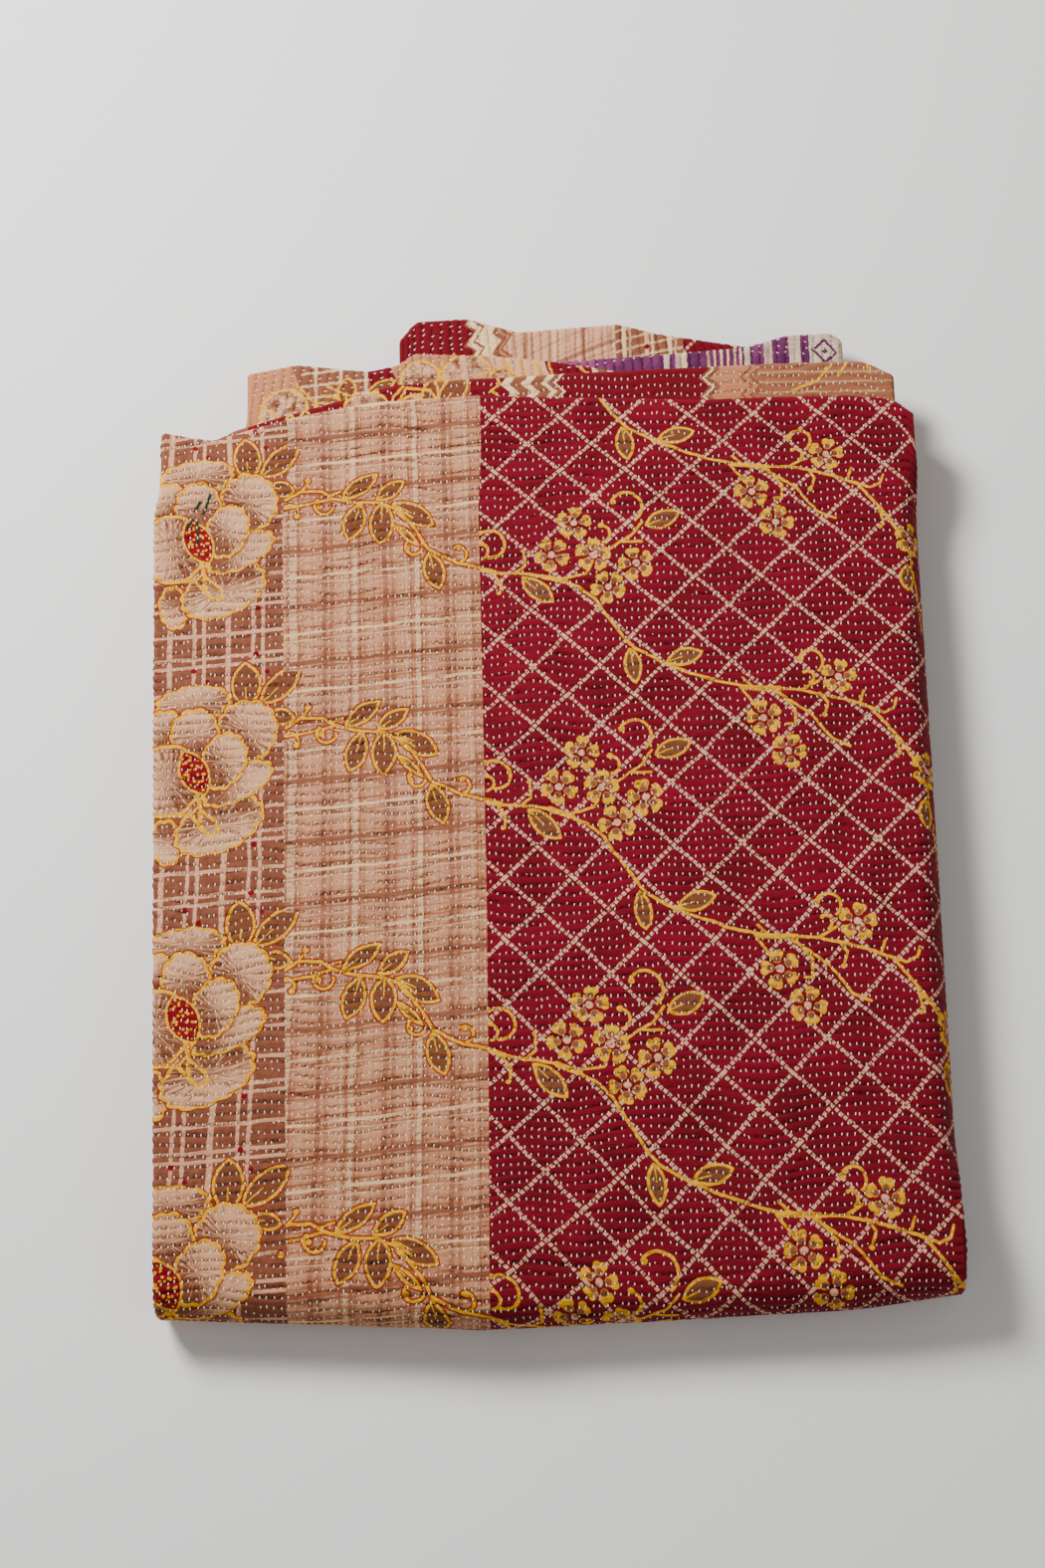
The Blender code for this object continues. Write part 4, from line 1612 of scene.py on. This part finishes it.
def makeInner():
    points, normals, strips, dense, u, v = innerRows
    coarse = slice(None, None, inner["coarser"])
    edge = ease(np.minimum(u - u[:, [0]], u[:, [-1]] - u) / inner["edgeFade"])
    relief = innerRelief(u, v, dense[:, None], strips[:, None]) * edge
    face, back = twoFaces(points, normals, relief, inner["coarser"])
    uv, grid = np.stack([u, v], axis=2), innerGrid(u, v, strips, dense)
    loose = grid * (1.0, 1.0, 0.0)
    cloth = ClothMesh()
    faceRows, backRows = [], []
    for i in range(len(points)):
        chosen = slice(None) if dense[i] else coarse
        faceRows.append(cloth.addRow(face[i, chosen], uv[i, chosen], grid[i, chosen]))
        backRows.append(cloth.addRow(back[i], uv[i, coarse], loose[i, coarse]))
    slots = [innerSlots[strip // 2] if shown else 0 for strip, shown in zip(strips, dense)]
    for i in range(len(faceRows) - 1):
        cloth.joinRows(faceRows[i], faceRows[i + 1], slots[i])
        cloth.joinRows(backRows[i], backRows[i + 1], 0, flip=True)
    hemSlots = [
        slot if shown else inner["hemSlots"][strip] for slot, shown, strip in zip(slots, dense, strips)
    ][:-1]
    hems = []
    for side in (0, -1):
        rolled = points[:, side] + outward(points, side) * outer["hemRound"]
        hems.append(cloth.addRow(rolled, uv[:, side], loose[:, side]))
        joinHem(cloth, faceRows, backRows, hems[-1], side, hemSlots)
    closeEnds(cloth, faceRows, backRows, *hems, 0)
    return cloth.build("quiltInner", [materials[name] for name in innerOrder])


def bands(draw, place, rows):
    # plain bands across half a metre of cloth: where each starts, in millimetres, and its dye
    ramp = draw.node("ShaderNodeValToRGB")
    ramp.color_ramp.interpolation = "CONSTANT"
    stops = ramp.color_ramp.elements
    stops.remove(stops[1])
    for i, (start, dye) in enumerate(rows):
        at = min(max((start + 250.0) / 500.0, 0.0), 1.0)
        stop = stops[0] if i == 0 else stops.new(at)
        stop.position = at
        stop.color = dyes[dye]
    draw.feed(ramp.inputs[0], draw.timesPlus(place, 0.002, 0.5))
    return ramp.outputs[0]


def zigzagged(draw, x, y, period, depth):
    # bends the bands' edges to and fro
    swing = draw.toAndFro(y, period / 2)
    return draw.timesPlus(swing, 2.0 * depth / period, draw.minus(x, depth / 2))


firstStrip = {
    "bands": [
        (-250, "brown"), (-196, "stripRed"), (-130, "stripRed"), (-98, "stripRed"), (-66, "brown"),
        (-43, "stripRed"),
    ],
    "zigzagBands": [
        (-250, "stripRed"), (-20, "cream"), (-14, "brown"), (-7, "cream"), (-1, "brown"), (6, "cream"),
        (11, "brown"), (14, "cream"), (17, "stripRed"), (112, "brown"), (115, "cream"), (117, "brown"),
        (120, "beige"),
        (139, "brown"), (142, "beige"), (145, "brown"), (148, "dullBeige"),
    ],
    "zigzagFrom": -36.0,
    "zigzag": (13.0, 7.0),
    "level": [(318.0, 7.0, 0.8, 0.9, 0.40, "brown"), (321.0, 7.0, 0.4, 0.5, 0.35, "cream")],
    "levelFrom": 150.0,
    "strokeWidth": 0.9,
    "petals": [(-113, 300, 17.5), (-79, 300, 14.0)],
    "leaves": [
        ((-166, 281), (-166, 303), 5.0), ((-155, 283), (-156, 306), 5.0), ((-64, 303), (-45, 326), 8.0),
        ((-72, 300), (-68, 324), 6.0),
    ],
    "strokes": [
        [(-151, 300), (-131, 299)], [(-130, 303), (-126, 313), (-115, 321)],
        [(-96, 300), (-95, 312), (-88, 319)],
        [(-92, 306), (-86, 318), (-70, 316), (-62, 304)],
        [(-27, 327), (-23, 319), (-29, 314), (-22, 308)], [(172, 308), (188, 314), (199, 326)],
        [(203, 318), (209, 327)], [(222, 328), (225, 320)],
    ],
}

secondStrip = {
    "bands": [
        (-250, "beige"), (-160, "brown"), (-112, "stripRed"), (-94, "beige"), (-26, "petal"),
        (8, "stripRed"),
        (38, "cream"), (42, "brown"), (47, "cream"), (52, "brown"), (58, "cream"), (63, "brown"),
        (68, "stripRed"),
    ],
    "upright": [(-150.0, 17.0, 0.9, 0.4, 0.7, "cream")],
    "level": [(330.0, 9.0, 0.7, 0.4, 0.7, "cream")],
    "plaid": (-160.0, -114.0),
    "slant": (0.35, 116.0),
    "strokeWidth": 0.85,
    "petals": [(-172, 322, 17.0), (-78, 333, 15.0), (-46, 333, 17.0), (-22, 328, 10.0)],
    "leaves": [((-130, 322), (-128, 342), 6.5), ((-116, 328), (-96, 336), 5.0)],
    "strokes": [
        [(-186, 330), (-176, 318), (-177, 306)], [(-163, 341), (-154, 330), (-148, 322), (-150, 314)],
        [(-150, 326), (-132, 323), (-112, 322)], [(-142, 337), (-130, 330), (-115, 324)],
        [(-150, 318), (-134, 319), (-116, 321)],
        [(-146, 331), (-136, 328), (-128, 322)],
        [(-93, 334), (-80, 324), (-66, 331), (-62, 346)], [(-62, 340), (-64, 332), (-56, 324)],
        [(-50, 325), (-38, 331), (-30, 340)], [(-20, 344), (-16, 330)], [(-10, 343), (-6, 331), (-12, 324)],
        [(2, 340), (4, 328)], [(10, 338), (12, 330)], [(30, 335), (36, 329)],
    ],
}

patchStrip = {
    "bands": [
        (-250, "pinkPurple"), (40, "purple"), (86, "grey"), (91, "purple"), (95, "grey"), (99, "cream"),
        (102, "purple"),
        (142, "grey"), (145, "purple"), (156, "grey"), (161, "purple"), (173, "grey"), (180, "purple"),
        (187, "grey"),
    ],
    "bars": [
        (118, 322, 350), (122.5, 324, 347), (127, 322, 350), (131.5, 325, 346), (136, 322, 350),
        (140, 326, 348),
    ],
    "dots": [(120.2, 352, 1.0), (129.3, 354, 1.0), (138, 353, 1.0)],
    "barWidth": 0.8,
    "diamond": (198.0, 347.0, 8.0),
    "ringWidth": 1.3,
    "ringGap": 5.6,
}

lastStrip = {
    "bands": [(-250, "stripRed"), (53, "brown"), (103, "stripRed")],
    "zigzagBands": [
        (-250, "stripRed"), (-46, "brown"), (-43, "cream"), (-41, "brown"), (-38, "cream"),
        (-27, "brown"), (-23, "beige"), (-21, "brown"),
        (-18.5, "paleBeige"),
    ],
    "zigzagTo": 56.0,
    "plaidFrom": -16.0,
    "zigzag": (15.0, 7.0),
    "upright": [
        (-5.0, 39.0, 0.9, 0.8, 0.75, "brown"), (12.0, 13.0, 0.4, 0.5, 0.45, "brown"),
        (15.0, 39.0, 0.6, 0.5, 0.5, "cream"),
    ],
    "level": [(368.0, 60.0, 1.2, 0.8, 0.75, "brown"), (362.0, 11.0, 0.4, 0.5, 0.4, "brown")],
    "brownLevel": [(359.0, 7.5, 0.6, 0.5, 0.6, "cream")],
    "brownUpright": [(62.0, 16.0, 1.2, 0.4, 0.8, "cream"), (66.0, 16.0, 0.7, 0.4, 0.7, "cream")],
    "plaidTo": 103.0,
    "dots": [(78, 357, 2.0), (124, 352, 1.4)],
}


def stripDrawing(tree, place):
    # a drawing on the map in millimetres, with the print's raggedness, and its x and y
    draw = Drawing(tree, None)
    flat = draw.vector("SCALE", place, scale=1000.0)
    draw.point = draw.vector("ADD", flat, draw.centred(draw.noise(place, 300.0, 1.0)[1], 0.8))
    return (draw, *draw.split(draw.point))


def petalsOn(draw, colour, petals):
    nearest = draw.nearest([draw.ball(*petal) for petal in petals])
    colour = draw.mix(draw.cover(draw.minus(nearest, 0.2), 0.3), colour, dyes["yellow"])
    shade = draw.noise(draw.point, 0.16, 2.0)[0]
    tone = draw.blend(shade, 4.0, -1.6, dyes["petal"], dyes["petalShade"])
    return draw.mix(draw.cover(draw.plus(nearest, 1.5), 0.3), colour, tone)


def firstStripDrawing(tree, place):
    draw, x, y = stripDrawing(tree, place)
    colour = bands(draw, x, firstStrip["bands"])
    zigzag = bands(draw, zigzagged(draw, x, y, *firstStrip["zigzag"]), firstStrip["zigzagBands"])
    colour = draw.mix(draw.above(x, firstStrip["zigzagFrom"]), colour, zigzag)
    lined = stripes(draw, y, colour, firstStrip["level"])
    colour = draw.mix(draw.above(x, firstStrip["levelFrom"]), colour, lined)
    colour = petalsOn(draw, colour, firstStrip["petals"])
    lines = [draw.strokes(run, firstStrip["strokeWidth"]) for run in firstStrip["strokes"]]
    return vineColours(draw, colour, lines, firstStrip["leaves"], outlined=False)[0]


def secondStripDrawing(tree, place):
    draw, x, y = stripDrawing(tree, place)
    slope, shift = secondStrip["slant"]
    slanted = draw.timesPlus(y, slope, draw.minus(x, shift))
    colour = bands(draw, slanted, secondStrip["bands"])
    lined = stripes(draw, y, stripes(draw, x, colour, secondStrip["upright"]), secondStrip["level"])
    low, high = secondStrip["plaid"]
    onPlaid = draw.times(draw.above(x, low), draw.below(x, high))
    colour = draw.mix(onPlaid, colour, lined)
    colour = petalsOn(draw, colour, secondStrip["petals"])
    lines = [draw.strokes(run, secondStrip["strokeWidth"]) for run in secondStrip["strokes"]]
    return vineColours(draw, colour, lines, secondStrip["leaves"], outlined=False)[0]


def patchStripDrawing(tree, place):
    draw, x, y = stripDrawing(tree, place)
    faded = draw.noise(draw.point, 0.06, 3.0)[0]
    colour = bands(draw, x, patchStrip["bands"])
    colour = draw.blend(faded, 2.0, -0.85, colour, dyes["pinkPurple"])
    width = patchStrip["barWidth"]
    bars = draw.nearest([draw.stroke((at, low), (at, high), width) for at, low, high in patchStrip["bars"]])
    dots = [draw.ball(*dot) for dot in patchStrip["dots"]]
    colour = draw.mix(draw.cover(draw.nearest([bars, *dots]), 0.5), colour, dyes["cream"])
    atX, atY, reach = patchStrip["diamond"]
    across = draw.positive(draw.minus(x, atX))
    alongIt = draw.positive(draw.minus(y, atY))
    fromMiddle = draw.minus(draw.plus(across, alongIt), reach)
    ring = draw.minus(draw.positive(fromMiddle), patchStrip["ringWidth"])
    ring = draw.smaller(ring, draw.plus(fromMiddle, patchStrip["ringGap"]))
    return draw.mix(draw.cover(ring, 0.6), colour, dyes["purple"])


def lastStripDrawing(tree, place):
    draw, x, y = stripDrawing(tree, place)
    colour = bands(draw, x, lastStrip["bands"])
    zigzag = bands(draw, zigzagged(draw, x, y, *lastStrip["zigzag"]), lastStrip["zigzagBands"])
    lined = stripes(draw, y, stripes(draw, x, zigzag, lastStrip["upright"]), lastStrip["level"])
    zigzag = draw.mix(draw.above(x, lastStrip["plaidFrom"]), zigzag, lined)
    crossed = stripes(draw, y, stripes(draw, x, colour, lastStrip["brownUpright"]), lastStrip["brownLevel"])
    colour = draw.mix(draw.below(x, lastStrip["plaidTo"]), colour, crossed)
    lattice = draw.group(shapes["lattice"], Point=draw.point)["Mask"]
    onRed = draw.times(lattice, draw.above(x, lastStrip["plaidTo"]))
    colour = draw.mix(onRed, colour, dyes["block"])
    colour = draw.mix(draw.below(x, lastStrip["zigzagTo"]), colour, zigzag)
    dots = draw.nearest([draw.ball(*dot) for dot in lastStrip["dots"]])
    return draw.mix(draw.cover(dots), colour, dyes["heart"])


stripDrawings = {
    "firstStrip": firstStripDrawing,
    "secondStrip": secondStripDrawing,
    "patchStrip": patchStripDrawing,
    "lastStrip": lastStripDrawing,
}
for name, drawing in stripDrawings.items():
    materials[name] = printedCloth(name, drawing)
innerOrder = ("reverse", "firstStrip", "secondStrip", "patchStrip", "lastStrip", "brownBand", "redEdge")
innerSlots = {0: 0, 1: 1, 2: 2, 3: 3, 4: 4, 5: 0}      # by a pair of layers
innerRows = innerMap()
quiltInner = makeInner()
print("inner cloth made", len(quiltInner.data.vertices), len(quiltInner.data.polygons))

# Running stitches, each a short thick thread that lies across a ripple's hollow
stitches = {
    "seed": 3,
    "length": 0.0027,
    "width": 0.00100,
    "height": 0.00050,
    "sink": 0.00012,
    "unevenLength": 0.22,
    "ridePhase": 0.19,     # how far up the ripples a thread lies
    "aheadStep": 0.0004,
    "jitter": 0.10,        # share of a pitch
    "rowJitter": 0.00042,
    "tilt": 0.18,
    "missing": 0.012,
    # how far the stitches stay from the wrap, the rear fold and the hems, and from a strip's edges
    "fromWrap": 0.012,
    "fromFold": 0.004,
    "fromHem": 0.003,
    "fromStrip": 0.001,
    "fromSide": 0.0015,
    "wholeRow": 0.99,
    "dye": paint(255, 238, 222),
    "shadeDye": paint(250, 216, 196),
}


def threadMaterial():
    material = bpy.data.materials.new("stitchThread")
    material.use_nodes = True
    shader = material.node_tree.nodes["Principled BSDF"]
    shader.inputs["Roughness"].default_value = 0.75
    shader.inputs["Specular IOR Level"].default_value = 0.3
    wire = Wiring(material.node_tree)
    place = wire.node("ShaderNodeTexCoord").outputs["Object"]
    uneven = wire.noise(place, 260.0, 2.0)[0]
    fibres = wire.noise(place, 5200.0, 1.0)[0]
    share = wire.timesPlus(fibres, 0.7, -1.15)
    share = wire.timesPlus(uneven, 2.2, share, clamp=True)
    wire.feed(shader.inputs["Base Color"], wire.mix(share, stitches["dye"], stitches["shadeDye"]))
    bump = wire.node("ShaderNodeBump")
    bump.inputs["Distance"].default_value = 0.0002
    wire.feed(bump.inputs["Height"], fibres)
    wire.feed(shader.inputs["Normal"], bump.outputs[0])
    return material


def stitchTree(thread):
    # one thread on every point, lying along stitchAlong and standing out along stitchUp
    tree = bpy.data.node_groups.new("runningStitch", "GeometryNodeTree")
    inputs = {"Geometry": "Geometry", "Length": "Float", "Width": "Float", "Height": "Float"}
    for name, kind in {**inputs, "Uneven": "Float", "Seed": "Int"}.items():
        tree.interface.new_socket(name, in_out="INPUT", socket_type="NodeSocket" + kind)
    tree.interface.new_socket("Geometry", in_out="OUTPUT", socket_type="NodeSocketGeometry")
    wire = Wiring(tree)
    given, result = wire.node("NodeGroupInput").outputs, wire.node("NodeGroupOutput").inputs
    grain = wire.node("GeometryNodeMeshIcoSphere")
    grain.inputs["Radius"].default_value = 0.5
    grain.inputs["Subdivisions"].default_value = 1
    turn = wire.node("FunctionNodeAxesToRotation", primary_axis="Z", secondary_axis="Y")
    for name, socket in (("stitchUp", "Primary Axis"), ("stitchAlong", "Secondary Axis")):
        read = wire.node("GeometryNodeInputNamedAttribute", data_type="FLOAT_VECTOR")
        read.inputs["Name"].default_value = name
        wire.feed(turn.inputs[socket], read.outputs[0])
    random = wire.node("FunctionNodeRandomValue", data_type="FLOAT")
    wire.feed(random.inputs[2], wire.minus(1.0, given["Uneven"]))
    wire.feed(random.inputs[3], wire.plus(1.0, given["Uneven"]))
    wire.feed(random.inputs["Seed"], given["Seed"])
    longer = wire.times(given["Length"], random.outputs[1])
    size = wire.node("ShaderNodeCombineXYZ")
    for socket, value in zip(size.inputs, (given["Width"], longer, given["Height"])):
        wire.feed(socket, value)
    place = wire.node("GeometryNodeInstanceOnPoints")
    wire.feed(place.inputs["Points"], given["Geometry"])
    wire.feed(place.inputs["Instance"], grain.outputs["Mesh"])
    wire.feed(place.inputs["Rotation"], turn.outputs[0])
    wire.feed(place.inputs["Scale"], size.outputs[0])
    realize = wire.node("GeometryNodeRealizeInstances")
    smooth = wire.node("GeometryNodeSetShadeSmooth")
    dressed = wire.node("GeometryNodeSetMaterial")
    dressed.inputs["Material"].default_value = thread
    wire.feed(realize.inputs[0], place.outputs[0])
    wire.feed(smooth.inputs["Geometry"], realize.outputs[0])
    wire.feed(dressed.inputs["Geometry"], smooth.outputs[0])
    wire.feed(result[0], dressed.outputs[0])
    return tree


def sewn(name, tree, places, ups, alongs, seed):
    # a plain mesh of threads from their places and directions
    mesh = bpy.data.meshes.new(name + "Points")
    mesh.from_pydata(shiftToFrame(places).tolist(), [], [])
    for label, vectors in (("stitchUp", ups), ("stitchAlong", alongs)):
        layer = mesh.attributes.new(label, "FLOAT_VECTOR", "POINT")
        layer.data.foreach_set("vector", vectors.astype(np.float32).ravel())
    points = bpy.data.objects.new(name + "Points", mesh)
    bpy.context.scene.collection.objects.link(points)
    modifier = points.modifiers.new("stitches", "NODES")
    modifier.node_group = tree
    given = {
        "Length": stitches["length"], "Width": stitches["width"], "Height": stitches["height"],
        "Uneven": stitches["unevenLength"], "Seed": seed,
    }
    for item in tree.interface.items_tree:
        if item.item_type == "SOCKET" and item.in_out == "INPUT" and item.name in given:
            modifier[item.identifier] = given[item.name]
    evaluated = points.evaluated_get(bpy.context.evaluated_depsgraph_get())
    finished = bpy.data.meshes.new_from_object(evaluated)
    finished.name = name
    for label in ("stitchUp", "stitchAlong"):
        if label in finished.attributes:
            finished.attributes.remove(finished.attributes[label])
    bpy.data.objects.remove(points)
    bpy.data.meshes.remove(mesh)
    piece = bpy.data.objects.new(name, finished)
    bpy.context.scene.collection.objects.link(piece)
    return piece


def unit(vectors):
    return vectors / np.linalg.norm(vectors, axis=-1, keepdims=True)


def tilted(alongs, ups, random):
    # turns the threads a little in the plane of the cloth
    angle = random.normal(0.0, stitches["tilt"], len(alongs))[:, None]
    sideways = np.cross(alongs, ups)
    return unit(alongs * np.cos(angle) + sideways * np.sin(angle))


def crossLine(points, normals, fixed, running, value):
    # the line on the cloth where fixed has a value, and how running goes along it
    base = np.arange(points.shape[1])
    column = np.array([np.interp(value, row, base) for row in fixed])
    first = np.minimum(column.astype(int), len(base) - 2)
    share = (column - first)[:, None]
    rows = np.arange(len(column))
    line, up, along = (
        between(part[rows, first], part[rows, first + 1], share if part.ndim == 3 else share[:, 0])
        for part in (points, normals, running)
    )
    return line, up, along


def sewAlong(line, up, along, at, lift, random):
    # stitches at lengths along a line: places, normals and directions
    keep = random.random(len(at)) > stitches["missing"]
    at, lift = at[keep], (lift + 0 * at)[keep]
    place, after, upHere = (
        np.stack([np.interp(where, along, part[:, axis]) for axis in range(3)], axis=1)
        for where, part in ((at, line), (at + stitches["aheadStep"], line), (at, up))
    )
    upHere, alongHere = unit(upHere), unit(after - place)
    spread = random.normal(0.0, stitches["rowJitter"], len(at))[:, None]
    place = place + upHere * lift[:, None] + np.cross(alongHere, upHere) * spread
    return np.concatenate([place, upHere, alongHere], axis=1)


def stitchPlaces(u, start, end, random):
    # how far along a row the stitches fall, each a little off its place on the ripples
    phases = np.arange(math.ceil(ripplePhase(u, start)), math.floor(ripplePhase(u, end)) + 1)
    return solveAlong(u + 0 * phases, phases + random.normal(0.0, stitches["jitter"], len(phases)))


def panelStitches(random):
    # stitch rows run along the cloth from the wrap to the rear fold
    found = []
    for u in np.arange(sewnFrom, outerAcross[topStart, -1] - stitches["fromHem"], ripples["rowStep"]):
        line, up, along = crossLine(outerPoints, outerNormals, outerAcross, outerAlong, u)
        start = along[outerMarks[0]] + stitches["fromWrap"]
        end = along[outerMarks[3]] - stitches["fromFold"]
        v = stitchPlaces(u, start, end, random)
        v = v[(v > start) & (v < end)]
        lift = fold["thickness"] / 2 + rippleHeight(u, v, stitches["ridePhase"]) - creaseDepth(u, v)
        lift = lift - stitches["sink"]
        found.append(sewAlong(line, up, along, v, lift, random))
    return np.concatenate(found)


def stripStitches(random):
    points, normals, strips, dense, u, v = innerRows
    hem, edge = stitches["fromHem"], stitches["fromStrip"]
    found = []
    for strip in inner["sewn"]:
        rows = (strips == strip) & dense
        part = [item[rows][inner["skip"][strip]:] for item in (points, normals, u, v)]
        off, first = inner["apart"] * strip, sewnFromOf(strip)
        if strip == 2:
            lines, fixed, running = part[:2], part[2], part[3]
            places = np.arange(first, fixed[0, -1] - hem, ripples["rowStep"])
        else:
            lines = [item.transpose(1, 0, 2) for item in part[:2]]
            fixed, running = part[3].T, part[2].T
            places = np.arange(first, np.max(fixed[:, -1]) - edge, ripples["rowStep"])
        for place in places:
            line, up, along = crossLine(*lines, fixed, running, place)
            start, end = along[0] + (edge if strip == 2 else hem), along[-1] - hem
            if strip == 2:
                at = stitchPlaces(place, start + off, end + off, random) - off
                height = rippleHeight(place, at + off, stitches["ridePhase"])
            else:
                inside = (fixed[:, 0] < place) & (fixed[:, -1] - stitches["fromSide"] > place)
                at = stitchPlaces(place + off, start, end, random)
                at = at[np.interp(at, along, inside) > stitches["wholeRow"]]
                height = rippleHeight(place + off, at, stitches["ridePhase"])
            kept = (at > start) & (at < end)
            at, height = at[kept], height[kept]
            lift = fold["thickness"] / 2 + inner["rippleHeight"] * height - stitches["sink"]
            if len(at):
                found.append(sewAlong(line, up, along, at, lift, random))
    return np.concatenate(found)


thread = threadMaterial()
stitching = stitchTree(thread)
needle = np.random.default_rng(stitches["seed"])


def sewRows(name, rows, seed):
    return sewn(name, stitching, rows[:, :3], rows[:, 3:6], tilted(rows[:, 6:], rows[:, 3:6], needle), seed)


rows = panelStitches(needle)
onLeft = rows[:, 0] < outer["redEdge"][2][1]
leftStitches = sewRows("stitchesLeft", rows[onLeft], 1)
rightStitches = sewRows("stitchesRight", rows[~onLeft], 2)
print("top panel sewn with", len(rows), "stitches")
rows = stripStitches(needle)
stripSewing = sewRows("stitchesStrips", rows, 3)
print("strips sewn with", len(rows), "stitches")


# Floor, light and camera
studio = {
    "floorColour": (0.93, 0.92, 0.90),
    "floorRoughness": 0.9,
    "floorSize": 6.0,
    "floorDrop": 0.0004,
    "keyPower": 79.0,
    "keySize": 0.68,
    "keyPlace": (-1.12, 1.12, 1.42),
    "fillPower": 10.0,
    "fillSize": 2.2,
    "fillPlace": (1.8, -1.0, 1.9),
    "worldColour": (1.0, 0.985, 0.96, 1.0),
    "worldStrength": 0.27,
    "cameraPlace": (-0.0155, -0.4706, 1.9502),
    "cameraTilt": 0.2443,
    "cameraTurn": -0.028,
    "lens": 70.0,
}


def softLight(name, place, power, size):
    light = bpy.data.lights.new(name, "AREA")
    light.energy, light.size = power, size
    lamp = bpy.data.objects.new(name, light)
    bpy.context.scene.collection.objects.link(lamp)
    lamp.location = place
    lamp.rotation_euler = (-Vector(place)).to_track_quat("-Z", "Y").to_euler()


def floorMaterial():
    material = bpy.data.materials.new("paleFloor")
    material.use_nodes = True
    shader = material.node_tree.nodes["Principled BSDF"]
    shader.inputs["Base Color"].default_value = (*studio["floorColour"], 1.0)
    shader.inputs["Roughness"].default_value = studio["floorRoughness"]
    return material


def makeStudio():
    size = studio["floorSize"]
    mesh = bpy.data.meshes.new("floor")
    corners = [(-size, -size, 0), (size, -size, 0), (size, size, 0), (-size, size, 0)]
    mesh.from_pydata(corners, [], [(0, 1, 2, 3)])
    floor = bpy.data.objects.new("floor", mesh)
    bpy.context.scene.collection.objects.link(floor)
    floor.location.z = -studio["floorDrop"]
    mesh.materials.append(floorMaterial())
    softLight("keyLight", studio["keyPlace"], studio["keyPower"], studio["keySize"])
    softLight("fillLight", studio["fillPlace"], studio["fillPower"], studio["fillSize"])
    world = bpy.data.worlds.new("softRoom")
    world.use_nodes = True
    sky = world.node_tree.nodes["Background"]
    sky.inputs["Color"].default_value = studio["worldColour"]
    sky.inputs["Strength"].default_value = studio["worldStrength"]
    bpy.context.scene.world = world
    cameraData = bpy.data.cameras.new("camera")
    cameraData.lens = studio["lens"]
    cameraData.sensor_width = 36.0
    cameraData.clip_start = 0.05
    camera = bpy.data.objects.new("camera", cameraData)
    bpy.context.scene.collection.objects.link(camera)
    tilt = Matrix.Rotation(studio["cameraTilt"], 4, "X") @ Matrix.Rotation(studio["cameraTurn"], 4, "Z")
    camera.matrix_world = Matrix.Translation(studio["cameraPlace"]) @ tilt
    bpy.context.scene.camera = camera


makeStudio()
print("studio ready")

for piece in (quiltOuter, quiltInner):
    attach(piece, "root")
    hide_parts("quilt")
for piece in (leftStitches, rightStitches, stripSewing):
    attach(piece, "root")
